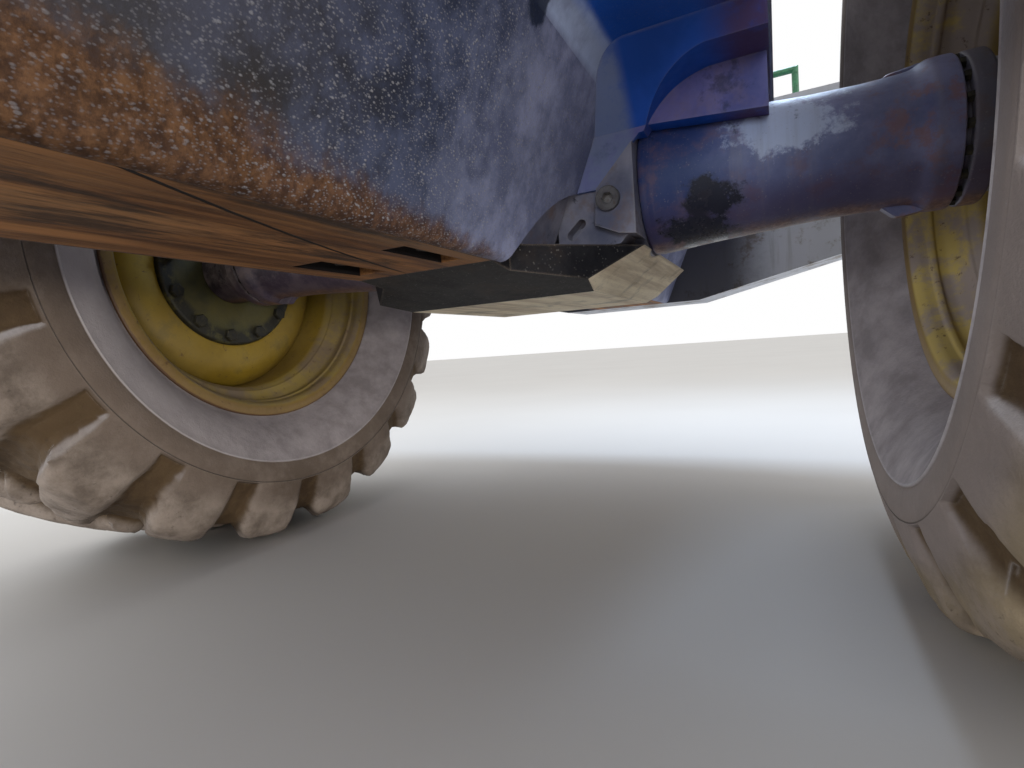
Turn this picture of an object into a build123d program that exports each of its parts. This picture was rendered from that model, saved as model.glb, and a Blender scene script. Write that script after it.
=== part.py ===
from build123d import *
import os
from math import atan, cos, degrees, hypot, radians, sin, tan

os.makedirs("parts", exist_ok=True)

# Driven wheel axle of a forestry harvester with the armoured frame section that carries it.
# X is across the machine, Y along it away from the hitch, Z up.
# The origin is the centre of the hitch ring's front face. All lengths are in millimetres.

# Stations along the machine
HITCH_HEIGHT = 950.0
AXLE_Y = 1850.0
TAIL_Y = 2970.0
TAIL_DEPTH = 260.0

# Clearances
SEAT = 0.3
RUNNING = 6.0

# Wheels, offsets from the wheel's centre plane
WHEEL_X = 1090.0
TYRE_RADIUS = 822.5
CARCASS_RADIUS = 764.0
CARCASS_HALF = 356.0
TREAD_HALF = 309.0
MOULD_LINE_RADIUS = 648.0
SIDEWALL_RADIUS = 572.0
BEAD_TOP_RADIUS = 470.0
LUGS_PER_SIDE = 19
LUG_SINK = 30.0
LUG_EDGE = 24.0
LUG_FOOT_RADIUS = 662.0
# Lug in plan: offset from the tyre's centre plane, place round the tyre, half width
#    offset  round   half_width
LUG_PLAN = [
    (-14.0, 190.0, 30.0),
    (300.0, 0.0, 66.0),
    (CARCASS_HALF, 0.0, 70.0),
]

# Rim and disc
RIM_HALF = 250.0
RIM_FLANGE_RADIUS = 462.5
RIM_FLANGE_PLATE = 14.0
BEAD_SEAT_RADIUS = 432.0
BEAD_SEAT_WIDTH = 70.0
DROP_RADIUS = 381.0
DROP_HALF = 112.0
RIM_PLATE = 12.0
DISC_HOLE_RADIUS = 233.0
DISC_HUB_OFFSET = -81.0
DISC_FLAT_RADIUS = 288.0
DISC_KNEE_RADIUS = 346.0
DISC_KNEE_OFFSET = -50.0
DISC_RIM_OFFSET = -5.0
DISC_PLATE = 18.0

# Hub
HUB_PROUD = 13.0
HUB_FLANGE_RADIUS = 286.0
HUB_FLANGE_PLATE = 26.0
COVER_RADIUS = 192.0
COVER_LENGTH = 150.0
COVER_END_RADIUS = 138.0
COVER_CONE = 34.0
STUDS = 12
HUB_PITCH_RADIUS = 206.0
NUT_PITCH_RADIUS = 240.0
NUT_WIDTH = 36.0
NUT_HEIGHT = 16.0

# Axle tube: station from the machine's centre and radius there
#     x      radius
TUBE_PROFILE = [
    (330.0, 135.0),
    (530.0, 118.0),
    (700.0, 109.0),
    (765.0, 111.0),
    (795.0, 124.0),
    (828.0, 124.0),
]
# Ear on top of the tube's bell: station and height above the axle line
#     x      rise
EAR_OUTLINE = [
    (735.0, 100.0),
    (735.0, 108.0),
    (746.0, 115.0),
    (795.0, 122.0),
]
EAR_HALF = 24.0
# Pointed rib under the bell: station and depth below the axle line
#     x      drop
RIB_OUTLINE = [
    (729.0, 100.0),
    (750.0, 128.0),
    (766.0, 128.0),
    (795.0, 122.0),
]
RIB_HALF = 12.0
GROOVE_WIDTH = 10.0
GROOVE_RADIUS = 104.0
RING_WIDTH = 32.0
RING_RADIUS = 122.0
SPINDLE_RADIUS = 100.0
SPINDLE_REACH = 30.0

# Hull section, heights from the axle line
BELLY_DROP = 164.0
OVERHANG_RISE = 190.0
TOP_RISE = 548.0
SEAM_X = 142.0
BEND_X = 156.0
SIDE_LEAN = 0.42
FRAME_HALF = 570.0
TOP_RETURN = 70.0
HULL_PLATE = 14.0
BEND_RADIUS = 18.0
SHOULDER_RADIUS = 70.0
EDGE_RADIUS = 20.0

# Opening in the hull side for the axle, from the axle line: along the machine and up
OPENING_FOOT = -355.0
OPENING_KNEE = (-255.0, -52.0)
OPENING_STEP = -19.0
OPENING_TOP = 141.0
OPENING_REAR_KNEE = (400.0, -52.0)
OPENING_REAR_FOOT = 510.0
OPENING_CURVE = 280.0

# Hitch ring and bulkhead
HITCH_RADIUS = 310.0
HITCH_BORE = 190.0
HITCH_PLATE = 40.0
HITCH_BOLTS = 16
HITCH_PITCH_RADIUS = 270.0
HITCH_HOLE = 13.0
BULKHEAD_PLATE = 25.0

# Belly plates, from the axle along the machine
BELLY_PLATE = 20.0
STRAP_MARGIN = 38.0
BELLY_END = -385.0
REAR_BELLY_START = 470.0
RECESS_START = -580.0
RECESS_LENGTH = 150.0
RECESS_HEX_WIDTH = 24.0
RECESS_HEX_HEIGHT = 12.0
#    x_min   x_max
BELLY_RECESSES = [
    (-100.0, -40.0),
    (72.0, 112.0),
]

# Centre housing, from the axle line
BANJO_RADIUS = 176.0
BANJO_HALF = 92.0
ARM_RADIUS = 135.0
ARM_START = 150.0
NOSE_ROOT_RADIUS = 166.0
NOSE_RADIUS = 104.0
NOSE_REACH = 330.0
INPUT_FLANGE_RADIUS = 88.0
INPUT_FLANGE_PLATE = 18.0
INPUT_SHAFT_RADIUS = 45.0
INPUT_SHAFT = 60.0
INPUT_BOLTS = 8
INPUT_PITCH_RADIUS = 70.0
INPUT_HOLE = 6.5
BLOCK_HALF = 140.0
BLOCK_IN = 170.0
BLOCK_OUT = 330.0
BLOCK_DROP = 124.0
BLOCK_RISE = 70.0
BLOCK_CHAMFER = 35.0
BOSS_HALF = 158.0
# Plug boss on each face of a block: station and height from the axle line
#     x      height
BOSS_OUTLINE = [
    (258.0, -18.0),
    (252.0, -86.0),
    (297.0, -107.0),
    (BLOCK_OUT, -112.0),
    (BLOCK_OUT, 56.0),
]
# Notch in each block's front face: its centre's station and height from the axle line
NOTCH = (208.0, -85.0)
NOTCH_LENGTH = 48.0
NOTCH_WIDTH = 18.0
NOTCH_TURN = 42.0
NOTCH_DEPTH = 30.0
PLUG_X = 281.0
PLUG_DROP = 41.0
PLUG_RADIUS = 23.0
PLUG_SHANK_RADIUS = 15.0
PLUG_SHANK = 18.0
PLUG_HEAD = 9.0
PLUG_HEX = 11.0
PLUG_SOCKET = 14.0

# Cradle plates inside the hull, beside the axle
CRADLE_PLATE = 16.0
CRADLE_HALF = 400.0
CRADLE_FOOT = 34.0
CRADLE_RISE = 300.0

# Saddles between the overhang and the axle tube, heights from the axle line
SADDLE_HALF = 150.0
SADDLE_RISE = 157.0
SADDLE_TOE_X = 352.0
SADDLE_MID = (390.0, 122.0)
SADDLE_FLAT_X = 470.0
SADDLE_EDGE = 6.0
# The saddle's gussets widen it along the machine, from GUSSET_RISE up to the overhang
GUSSET_HALF = 260.0
GUSSET_RISE = 80.0
# Lower edge of the web under the arch: station and height from the axle line
#     x      height
WEB_EDGE = [
    (SADDLE_TOE_X, 84.0),
    (560.0, 66.0),
]

# Guard under the centre housing, drops from the axle line and stations along the machine
GUARD_DROP = 206.0
GUARD_FLAT_HALF = 227.0
GUARD_HALF = 334.0
GUARD_EDGE_DROP = 128.0
GUARD_PLATE = 12.0
GUARD_FLAT_START = -110.0
GUARD_FLAT_END = 380.0
GUARD_WIDEN = -318.0

# Crossmembers: name and station along the machine
#    name      y
CROSSMEMBERS = [
    ("front", 420.0),
    ("middle", 1250.0),
    ("rear", 2420.0),
]
CROSS_DEPTH = 110.0
CROSS_HEIGHT = 90.0
CROSS_PLATE = 12.0
MOUNT_X = 380.0
MOUNT_RADIUS = 55.0
MOUNT_HEIGHT = 45.0
MOUNT_HOLE = 9.0

# Tail box, heights from the axle line
TAIL_FLAT_HALF = 280.0
TAIL_HALF = 1000.0
TAIL_SLOPE = 13.0
RAIL_X = 600.0
RAIL_SPAN = 104.0
RAIL_HEIGHT = 135.0
RAIL_RADIUS = 12.0

# Places that follow
AXLE_Z = TYRE_RADIUS - HITCH_HEIGHT
BELLY_Z = AXLE_Z - BELLY_DROP
OVERHANG_Z = AXLE_Z + OVERHANG_RISE
TOP_Z = AXLE_Z + TOP_RISE
HULL_START = HITCH_PLATE + BULKHEAD_PLATE
SHOULDER_X = BEND_X + SIDE_LEAN * (BELLY_DROP + OVERHANG_RISE)
LEAN = atan(SIDE_LEAN)
OPENING_HALF = SADDLE_HALF + SEAT
AXLE_LINE = Axis((0, AXLE_Y, AXLE_Z), (1, 0, 0))
DRIVE_LINE = Axis((0, 0, AXLE_Z), (0, 1, 0))
SIDES = [("left", -1), ("right", 1)]

AXLE_PLANE = Plane(origin=(0, AXLE_Y, AXLE_Z), x_dir=(1, 0, 0), z_dir=(0, -1, 0))
WHEEL_PLANE = Plane(origin=(WHEEL_X, AXLE_Y, AXLE_Z), x_dir=(1, 0, 0), z_dir=(0, -1, 0))
SIDE_VIEW = Plane(origin=(0, AXLE_Y, AXLE_Z), x_dir=(0, 1, 0), z_dir=(1, 0, 0))


def across(y):
    """Plane across the machine at station y: its x is X and its y is Z."""
    return Plane.XZ.offset(-y)


def lean_x(rise):
    """The hull side's outer face at a height above the axle line."""
    return BEND_X + SIDE_LEAN * (BELLY_DROP + rise)


def flat_taper(fall, run):
    """Lean in degrees of a flat-sided ring's faces whose corners come in by fall over run."""
    return degrees(atan(fall * cos(radians(TURN)) / run))


def write(shape, name, side=1):
    """Label a piece and write it, mirrored to the left where side is -1."""
    if side == -1:
        shape = mirror(shape, about=Plane.YZ)
    shape.label = name
    export_step(shape, f"parts/{name}.step")


# Hitch ring
with BuildPart() as hitch_ring:
    with BuildSketch(across(HITCH_PLATE)):
        Circle(HITCH_RADIUS)
        Circle(HITCH_BORE, mode=Mode.SUBTRACT)
        with PolarLocations(HITCH_PITCH_RADIUS, HITCH_BOLTS):
            Circle(HITCH_HOLE, mode=Mode.SUBTRACT)
    extrude(amount=HITCH_PLATE)
write(hitch_ring.part, "hitch_ring")

# Front bulkhead, the closed end of the hull
SECTION = [(BEND_X, BELLY_Z), (SHOULDER_X, OVERHANG_Z), (FRAME_HALF, OVERHANG_Z), (FRAME_HALF, TOP_Z)]
with BuildPart() as front_bulkhead:
    with BuildSketch(across(HULL_START)):
        with BuildLine():
            Polyline(*SECTION, *[(-x, z) for x, z in reversed(SECTION)], close=True)
        make_face()
        Circle(HITCH_BORE, mode=Mode.SUBTRACT)
    extrude(amount=BULKHEAD_PLATE)
write(front_bulkhead.part, "front_bulkhead")

# Hull side: seam flange, leaning side, overhang floor, upright and top return in one bent plate
with BuildPart() as hull_side:
    with BuildSketch(across(HULL_START)):
        with BuildLine():
            FilletPolyline(
                (SEAM_X, BELLY_Z),
                (BEND_X, BELLY_Z),
                (SHOULDER_X, OVERHANG_Z),
                (FRAME_HALF, OVERHANG_Z),
                (FRAME_HALF, TOP_Z),
                (FRAME_HALF - TOP_RETURN, TOP_Z),
                radius=(BEND_RADIUS, SHOULDER_RADIUS, EDGE_RADIUS, EDGE_RADIUS),
            )
            offset(amount=HULL_PLATE, side=Side.LEFT)
        make_face()
    extrude(amount=HULL_START - TAIL_Y)
    with BuildSketch(SIDE_VIEW):
        with BuildLine():
            foot = (OPENING_FOOT, -BELLY_DROP)
            rear_foot = (OPENING_REAR_FOOT, -BELLY_DROP)
            step = (-OPENING_HALF, OPENING_STEP)
            rear_step = (OPENING_HALF, OPENING_STEP)
            FilletPolyline(foot, OPENING_KNEE, step, radius=OPENING_CURVE)
            Polyline(step, (-OPENING_HALF, OPENING_TOP), (OPENING_HALF, OPENING_TOP), rear_step)
            FilletPolyline(rear_step, OPENING_REAR_KNEE, rear_foot, radius=OPENING_CURVE)
            Line(rear_foot, foot)
        make_face()
    extrude(amount=SHOULDER_X, mode=Mode.SUBTRACT)
for side_name, side in SIDES:
    write(hull_side.part, f"hull_{side_name}", side)

# Belly plates between the hull's bent edges
BELLIES = [
    ("belly_plate_front", HULL_START, AXLE_Y + BELLY_END),
    ("belly_plate_rear", AXLE_Y + REAR_BELLY_START, TAIL_Y),
]
RECESS_Y = AXLE_Y + RECESS_START + RECESS_LENGTH / 2
for name, start, end in BELLIES:
    with BuildPart() as belly:
        with BuildSketch(Plane.XY.offset(BELLY_Z)):
            with Locations((0, (start + end) / 2)):
                Rectangle(2 * (SEAM_X - SEAT), end - start)
            if start < RECESS_Y < end:
                for x_min, x_max in BELLY_RECESSES:
                    with Locations(((x_min + x_max) / 2, RECESS_Y)):
                        Rectangle(x_max - x_min, RECESS_LENGTH, mode=Mode.SUBTRACT)
        extrude(amount=BELLY_PLATE)
    write(belly.part, name)

# Strap over the recesses, with its bolt heads showing in them
with BuildPart() as belly_strap:
    with BuildSketch(Plane.XY.offset(BELLY_Z + BELLY_PLATE)):
        with Locations((0, RECESS_Y)):
            Rectangle(2 * (SEAM_X - BELLY_PLATE), RECESS_LENGTH + 2 * STRAP_MARGIN)
    extrude(amount=HULL_PLATE)
    with BuildSketch(Plane.XY.offset(BELLY_Z + BELLY_PLATE - RECESS_HEX_HEIGHT)):
        for x_min, x_max in BELLY_RECESSES:
            with Locations(((x_min + x_max) / 2, RECESS_Y)):
                RegularPolygon(RECESS_HEX_WIDTH / 2, 6, major_radius=False)
    extrude(amount=RECESS_HEX_HEIGHT)
write(belly_strap.part, "belly_strap")

# Crossmembers: open channels that stand on the overhang floors
CROSS_HALF = FRAME_HALF - EDGE_RADIUS - SEAT
CROSS_Z = OVERHANG_Z + HULL_PLATE
for name, y in CROSSMEMBERS:
    with BuildPart() as crossmember:
        with BuildSketch(Plane.YZ.offset(-CROSS_HALF)):
            with Locations((y, CROSS_Z + CROSS_HEIGHT / 2)):
                Rectangle(CROSS_DEPTH, CROSS_HEIGHT)
            with Locations((y, CROSS_Z + CROSS_HEIGHT / 2 - CROSS_PLATE)):
                Rectangle(CROSS_DEPTH - 2 * CROSS_PLATE, CROSS_HEIGHT, mode=Mode.SUBTRACT)
        extrude(amount=2 * CROSS_HALF)
    write(crossmember.part, f"crossmember_{name}")

# Rubber mounts for the engine on the front and rear crossmembers
for name, y in (CROSSMEMBERS[0], CROSSMEMBERS[-1]):
    with BuildPart() as engine_mounts:
        with BuildSketch(Plane.XY.offset(CROSS_Z + CROSS_HEIGHT)):
            with Locations((-MOUNT_X, y), (MOUNT_X, y)):
                Circle(MOUNT_RADIUS)
                Circle(MOUNT_HOLE, mode=Mode.SUBTRACT)
        extrude(amount=MOUNT_HEIGHT)
    write(engine_mounts.part, f"engine_mounts_{name}")

# Cradle plate: lies on the inside of the hull side, open below for the axle
LEAN_PLANE = Plane(
    origin=(BEND_X - (HULL_PLATE + SEAT) * cos(LEAN), AXLE_Y, BELLY_Z + (HULL_PLATE + SEAT) * sin(LEAN)),
    x_dir=(0, 1, 0),
    z_dir=(cos(LEAN), 0, -sin(LEAN)),
)
with BuildPart() as cradle:
    with BuildSketch(LEAN_PLANE):
        with Locations((0, (CRADLE_FOOT + CRADLE_RISE) / 2)):
            Rectangle(2 * CRADLE_HALF, CRADLE_RISE - CRADLE_FOOT)
    extrude(amount=-CRADLE_PLATE)
    with BuildSketch(SIDE_VIEW):
        with Locations((0, (OPENING_TOP - BELLY_DROP) / 2)):
            Rectangle(2 * OPENING_HALF, OPENING_TOP + BELLY_DROP)
    extrude(amount=SHOULDER_X, mode=Mode.SUBTRACT)
for side_name, side in SIDES:
    write(cradle.part, f"cradle_plate_{side_name}", side)

# Centre housing: round banjo with arms, a nose for the input, and a bossed block at each arm
with BuildPart() as housing:
    with BuildSketch(AXLE_PLANE):
        with BuildLine():
            banjo = [(BANJO_HALF, BANJO_RADIUS), (ARM_START, ARM_RADIUS), (TUBE_PROFILE[0][0], ARM_RADIUS)]
            banjo += [(TUBE_PROFILE[0][0], 0)]
            Polyline(*[(-x, r) for x, r in reversed(banjo)], *banjo, close=True)
        make_face()
    revolve(axis=AXLE_LINE)
    with BuildSketch(Plane.YZ.offset(0)):
        with BuildLine():
            Polyline(
                (AXLE_Y, AXLE_Z),
                (AXLE_Y, AXLE_Z + NOSE_ROOT_RADIUS),
                (AXLE_Y - NOSE_REACH, AXLE_Z + NOSE_RADIUS),
                (AXLE_Y - NOSE_REACH, AXLE_Z),
                close=True,
            )
        make_face()
    revolve(axis=DRIVE_LINE)
    with BuildSketch(AXLE_PLANE.offset(BLOCK_HALF)):
        with BuildLine():
            block = [(BLOCK_IN, -BLOCK_DROP), (BLOCK_OUT - BLOCK_CHAMFER, -BLOCK_DROP)]
            block += [(BLOCK_OUT, BLOCK_CHAMFER - BLOCK_DROP), (BLOCK_OUT, BLOCK_RISE)]
            Polyline(*block, (BLOCK_IN, BLOCK_RISE), close=True)
        make_face()
    extrude(amount=-2 * BLOCK_HALF)
    with BuildSketch(AXLE_PLANE.offset(BLOCK_HALF)):
        with Locations(NOTCH):
            SlotOverall(NOTCH_LENGTH, NOTCH_WIDTH, rotation=NOTCH_TURN)
    extrude(amount=-NOTCH_DEPTH, mode=Mode.SUBTRACT)
    with BuildSketch(AXLE_PLANE.offset(BOSS_HALF)):
        with BuildLine():
            Polyline(*BOSS_OUTLINE, close=True)
        make_face()
    extrude(amount=-2 * BOSS_HALF)
    mirror(about=Plane.YZ)
    with BuildSketch(AXLE_PLANE.offset(BOSS_HALF)):
        with Locations((PLUG_X, -PLUG_DROP)):
            Circle(PLUG_SHANK_RADIUS + SEAT)
    extrude(amount=-PLUG_SHANK - SEAT, mode=Mode.SUBTRACT)
    with BuildSketch(AXLE_PLANE.offset(NOSE_REACH)):
        Circle(INPUT_SHAFT_RADIUS + SEAT)
    extrude(amount=-INPUT_SHAFT, mode=Mode.SUBTRACT)
write(housing.part, "axle_housing")

# Level plug with its hexagon socket
with BuildPart() as level_plug:
    with BuildSketch(AXLE_PLANE.offset(BOSS_HALF)):
        with Locations((PLUG_X, -PLUG_DROP)):
            Circle(PLUG_RADIUS)
    extrude(amount=PLUG_HEAD)
    with BuildSketch(AXLE_PLANE.offset(BOSS_HALF)):
        with Locations((PLUG_X, -PLUG_DROP)):
            Circle(PLUG_SHANK_RADIUS)
    extrude(amount=-PLUG_SHANK)
    with BuildSketch(AXLE_PLANE.offset(BOSS_HALF + PLUG_HEAD)):
        with Locations((PLUG_X, -PLUG_DROP)):
            RegularPolygon(PLUG_HEX, 6)
    extrude(amount=-PLUG_SOCKET, mode=Mode.SUBTRACT)
write(level_plug.part, "level_plug")

# Axle tube and the hub carrier bolted to its end
TUBE_END = TUBE_PROFILE[-1][0]
with BuildPart() as axle_tube:
    with BuildSketch(AXLE_PLANE):
        with BuildLine():
            Polyline((TUBE_PROFILE[0][0], 0), *TUBE_PROFILE, (TUBE_END, 0), close=True)
        make_face()
    revolve(axis=AXLE_LINE)
    with BuildSketch(AXLE_PLANE.offset(EAR_HALF)):
        with BuildLine():
            Polyline(*EAR_OUTLINE, (EAR_OUTLINE[-1][0], EAR_OUTLINE[0][1]), close=True)
        make_face()
    extrude(amount=-2 * EAR_HALF)
    with BuildSketch(AXLE_PLANE.offset(RIB_HALF)):
        with BuildLine():
            rib = [(x, -drop) for x, drop in RIB_OUTLINE]
            Polyline(*rib, (rib[-1][0], rib[0][1]), close=True)
        make_face()
    extrude(amount=-2 * RIB_HALF)

HUB_FACE_X = WHEEL_X + DISC_HUB_OFFSET - HUB_PROUD
SPINDLE_END = HUB_FACE_X + SPINDLE_REACH
with BuildPart() as hub_carrier:
    with BuildSketch(AXLE_PLANE):
        with BuildLine():
            Polyline(
                (TUBE_END, 0),
                (TUBE_END, GROOVE_RADIUS),
                (TUBE_END + GROOVE_WIDTH, GROOVE_RADIUS),
                (TUBE_END + GROOVE_WIDTH, RING_RADIUS),
                (TUBE_END + GROOVE_WIDTH + RING_WIDTH, RING_RADIUS),
                (TUBE_END + GROOVE_WIDTH + RING_WIDTH, SPINDLE_RADIUS),
                (SPINDLE_END, SPINDLE_RADIUS),
                (SPINDLE_END, 0),
                close=True,
            )
        make_face()
    revolve(axis=AXLE_LINE)
for side_name, side in SIDES:
    write(axle_tube.part, f"axle_tube_{side_name}", side)
    write(hub_carrier.part, f"hub_carrier_{side_name}", side)

# Saddle: hangs the axle tube from the overhang, with an arched edge over the tube, a toe beside
# the block's boss and a web that fits the tube
with BuildPart() as tube_room:
    with BuildSketch(AXLE_PLANE):
        with BuildLine():
            room = [(x, r + SEAT) for x, r in TUBE_PROFILE]
            Polyline((0, 0), (0, room[0][1]), *room, (TUBE_END, 0), close=True)
        make_face()
    revolve(axis=AXLE_LINE)

with BuildPart() as saddle:
    with BuildSketch(AXLE_PLANE.offset(GUSSET_HALF)):
        with BuildLine():
            toe_rise = BLOCK_RISE + SEAT
            seat_shift = SEAT / cos(LEAN)
            roof = OVERHANG_RISE - SEAT
            FilletPolyline(
                (lean_x(toe_rise) + seat_shift, toe_rise),
                (lean_x(roof) + seat_shift, roof),
                (FRAME_HALF - SADDLE_EDGE, roof),
                radius=SHOULDER_RADIUS - SEAT,
            )
            Polyline(
                (FRAME_HALF - SADDLE_EDGE, roof),
                (FRAME_HALF - SADDLE_EDGE, SADDLE_RISE),
                (SADDLE_FLAT_X, SADDLE_RISE),
            )
            ThreePointArc((SADDLE_FLAT_X, SADDLE_RISE), SADDLE_MID, (SADDLE_TOE_X, toe_rise))
            Line((SADDLE_TOE_X, toe_rise), (lean_x(toe_rise) + seat_shift, toe_rise))
        make_face()
    extrude(amount=-2 * GUSSET_HALF)
    with BuildSketch(SIDE_VIEW):
        with BuildLine():
            gusset = [(GUSSET_HALF, OVERHANG_RISE), (SADDLE_HALF, GUSSET_RISE), (SADDLE_HALF, 0)]
            Polyline(*gusset, *[(-y, z) for y, z in reversed(gusset)], close=True)
        make_face()
    extrude(amount=FRAME_HALF, mode=Mode.INTERSECT)
    with BuildSketch(AXLE_PLANE.offset(SADDLE_HALF)):
        with BuildLine():
            tip_x, tip_z = BOSS_OUTLINE[0]
            boss_slope = (BOSS_OUTLINE[-1][0] - tip_x) / (BOSS_OUTLINE[-1][1] - tip_z)
            tip_x -= SEAT * hypot(1, boss_slope)
            Polyline(
                (lean_x(tip_z) + seat_shift, tip_z),
                (tip_x, tip_z),
                (tip_x + boss_slope * (toe_rise - tip_z), toe_rise),
                (lean_x(toe_rise) + seat_shift, toe_rise),
                close=True,
            )
        make_face()
    extrude(amount=-2 * SADDLE_HALF)
    with BuildSketch(SIDE_VIEW):
        with Locations((0, (toe_rise - BLOCK_DROP) / 2)):
            Rectangle(2 * (BLOCK_HALF + SEAT), toe_rise + BLOCK_DROP)
    extrude(amount=FRAME_HALF, mode=Mode.SUBTRACT)
    with BuildSketch(AXLE_PLANE.offset(BLOCK_HALF)):
        with BuildLine():
            web = [(x, SADDLE_RISE) for x, z in reversed(WEB_EDGE)]
            Polyline(*WEB_EDGE, *web, close=True)
        make_face()
    extrude(amount=-2 * BLOCK_HALF)
    add(tube_room.part, mode=Mode.SUBTRACT)
for side_name, side in SIDES:
    write(saddle.part, f"axle_saddle_{side_name}", side)

# Guard: a tray under the centre housing, ramped at both ends
GUARD_START = BELLY_END + SEAT
GUARD_END = REAR_BELLY_START - SEAT
with BuildPart() as guard:
    with BuildSketch(AXLE_PLANE.offset(-GUARD_START)):
        with BuildLine():
            tray = [(GUARD_FLAT_HALF, -GUARD_DROP), (GUARD_HALF, -GUARD_EDGE_DROP)]
            Polyline(*tray, *[(-x, z) for x, z in reversed(tray)], close=True)
        make_face()
    extrude(amount=GUARD_START - GUARD_END)
    with BuildSketch(SIDE_VIEW.offset(-GUARD_HALF)):
        with BuildLine():
            Polyline(
                (GUARD_START, -BELLY_DROP),
                (GUARD_FLAT_START, -GUARD_DROP),
                (GUARD_FLAT_END, -GUARD_DROP),
                (GUARD_END, -BELLY_DROP),
                (GUARD_END, -GUARD_EDGE_DROP),
                (GUARD_START, -GUARD_EDGE_DROP),
                close=True,
            )
        make_face()
    extrude(amount=2 * GUARD_HALF, mode=Mode.INTERSECT)
    with BuildSketch(Plane.XY.offset(AXLE_Z - GUARD_DROP)):
        with BuildLine():
            nose_half = SEAM_X - SEAT
            plan = [(nose_half, GUARD_START), (nose_half, GUARD_WIDEN), (GUARD_HALF, GUARD_FLAT_START)]
            plan += [(GUARD_HALF, GUARD_FLAT_END), (nose_half, GUARD_END)]
            plan = [(x, AXLE_Y + y) for x, y in plan]
            Polyline(*plan, *[(-x, y) for x, y in reversed(plan)], close=True)
        make_face()
    extrude(amount=GUARD_DROP, mode=Mode.INTERSECT)
    offset(amount=-GUARD_PLATE, openings=guard.faces().sort_by(Axis.Z)[-1], kind=Kind.INTERSECTION)
    add(tube_room.part, mode=Mode.SUBTRACT)
    add(mirror(tube_room.part, about=Plane.YZ), mode=Mode.SUBTRACT)
write(guard.part, "axle_guard")

# Input flange on the housing's nose, which turns
with BuildPart() as input_flange:
    with BuildSketch(AXLE_PLANE.offset(NOSE_REACH + RUNNING)):
        Circle(INPUT_FLANGE_RADIUS)
        with PolarLocations(INPUT_PITCH_RADIUS, INPUT_BOLTS):
            Circle(INPUT_HOLE, mode=Mode.SUBTRACT)
    extrude(amount=INPUT_FLANGE_PLATE)
    with BuildSketch(AXLE_PLANE.offset(NOSE_REACH + RUNNING)):
        Circle(INPUT_SHAFT_RADIUS)
    extrude(amount=-(INPUT_SHAFT - RUNNING))
write(input_flange.part, "input_flange")

# Tail box across the end of the frame, its lower corners chamfered
TAIL_RISE = (TAIL_HALF - TAIL_FLAT_HALF) * tan(radians(TAIL_SLOPE))
with BuildPart() as tail_box:
    with BuildSketch(across(TAIL_Y)):
        with BuildLine():
            outline = [(TAIL_FLAT_HALF, BELLY_Z), (TAIL_HALF, BELLY_Z + TAIL_RISE), (TAIL_HALF, TOP_Z)]
            Polyline(*outline, *[(-x, z) for x, z in reversed(outline)], close=True)
        make_face()
    extrude(amount=-TAIL_DEPTH)
write(tail_box.part, "tail_box")

# Grab rail on the tail box, mitred at its corners
RAIL_Y = TAIL_Y + TAIL_DEPTH / 2
RAIL_TOP = TOP_Z + RAIL_HEIGHT
with BuildPart() as tail_rail:
    with BuildLine():
        rail = Polyline(
            (RAIL_X - RAIL_SPAN / 2, RAIL_Y, TOP_Z),
            (RAIL_X - RAIL_SPAN / 2, RAIL_Y, RAIL_TOP),
            (RAIL_X + RAIL_SPAN / 2, RAIL_Y, RAIL_TOP),
            (RAIL_X + RAIL_SPAN / 2, RAIL_Y, TOP_Z),
        )
    with BuildSketch(Plane(origin=rail @ 0, z_dir=rail % 0)):
        Circle(RAIL_RADIUS)
    sweep(transition=Transition.RIGHT)
write(tail_rail.part, "tail_rail")

# Rim with its welded disc
with BuildPart() as rim:
    with BuildSketch(WHEEL_PLANE):
        with BuildLine():
            seat_end = RIM_HALF - RIM_FLANGE_PLATE - BEAD_SEAT_WIDTH
            outer = [
                (RIM_HALF, RIM_FLANGE_RADIUS),
                (RIM_HALF - RIM_FLANGE_PLATE, RIM_FLANGE_RADIUS),
                (RIM_HALF - RIM_FLANGE_PLATE, BEAD_SEAT_RADIUS),
                (seat_end, BEAD_SEAT_RADIUS),
                (DROP_HALF, DROP_RADIUS),
            ]
            inner = [
                (DROP_HALF, DROP_RADIUS - RIM_PLATE),
                (RIM_HALF - RIM_FLANGE_PLATE, BEAD_SEAT_RADIUS - RIM_PLATE),
                (RIM_HALF, BEAD_SEAT_RADIUS),
            ]
            near_half = outer + [(-u, r) for u, r in reversed(outer)]
            far_half = [(-u, r) for u, r in reversed(inner)] + inner
            Polyline(*near_half, *far_half, close=True)
        make_face()
        with BuildLine():
            disc_face = [
                (DISC_HUB_OFFSET, DISC_HOLE_RADIUS),
                (DISC_HUB_OFFSET, DISC_FLAT_RADIUS),
                (DISC_KNEE_OFFSET, DISC_KNEE_RADIUS),
                (DISC_RIM_OFFSET, DROP_RADIUS - RIM_PLATE / 2),
            ]
            Polyline(*disc_face, *[(u + DISC_PLATE, r) for u, r in reversed(disc_face)], close=True)
        make_face()
    revolve(axis=AXLE_LINE)

# Hub: drum through the disc's hole, flange behind the disc, bore for the spindle
HUB_BACK_X = WHEEL_X + DISC_HUB_OFFSET + DISC_PLATE + HUB_FLANGE_PLATE
with BuildPart() as hub:
    with BuildSketch(AXLE_PLANE):
        with BuildLine():
            Polyline(
                (HUB_FACE_X, SPINDLE_RADIUS + SEAT),
                (HUB_FACE_X, DISC_HOLE_RADIUS - SEAT),
                (HUB_BACK_X - HUB_FLANGE_PLATE, DISC_HOLE_RADIUS - SEAT),
                (HUB_BACK_X - HUB_FLANGE_PLATE, HUB_FLANGE_RADIUS),
                (HUB_BACK_X, HUB_FLANGE_RADIUS),
                (HUB_BACK_X, 0),
                (SPINDLE_END + RUNNING, 0),
                (SPINDLE_END + RUNNING, SPINDLE_RADIUS + SEAT),
                close=True,
            )
        make_face()
    revolve(axis=AXLE_LINE)

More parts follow.
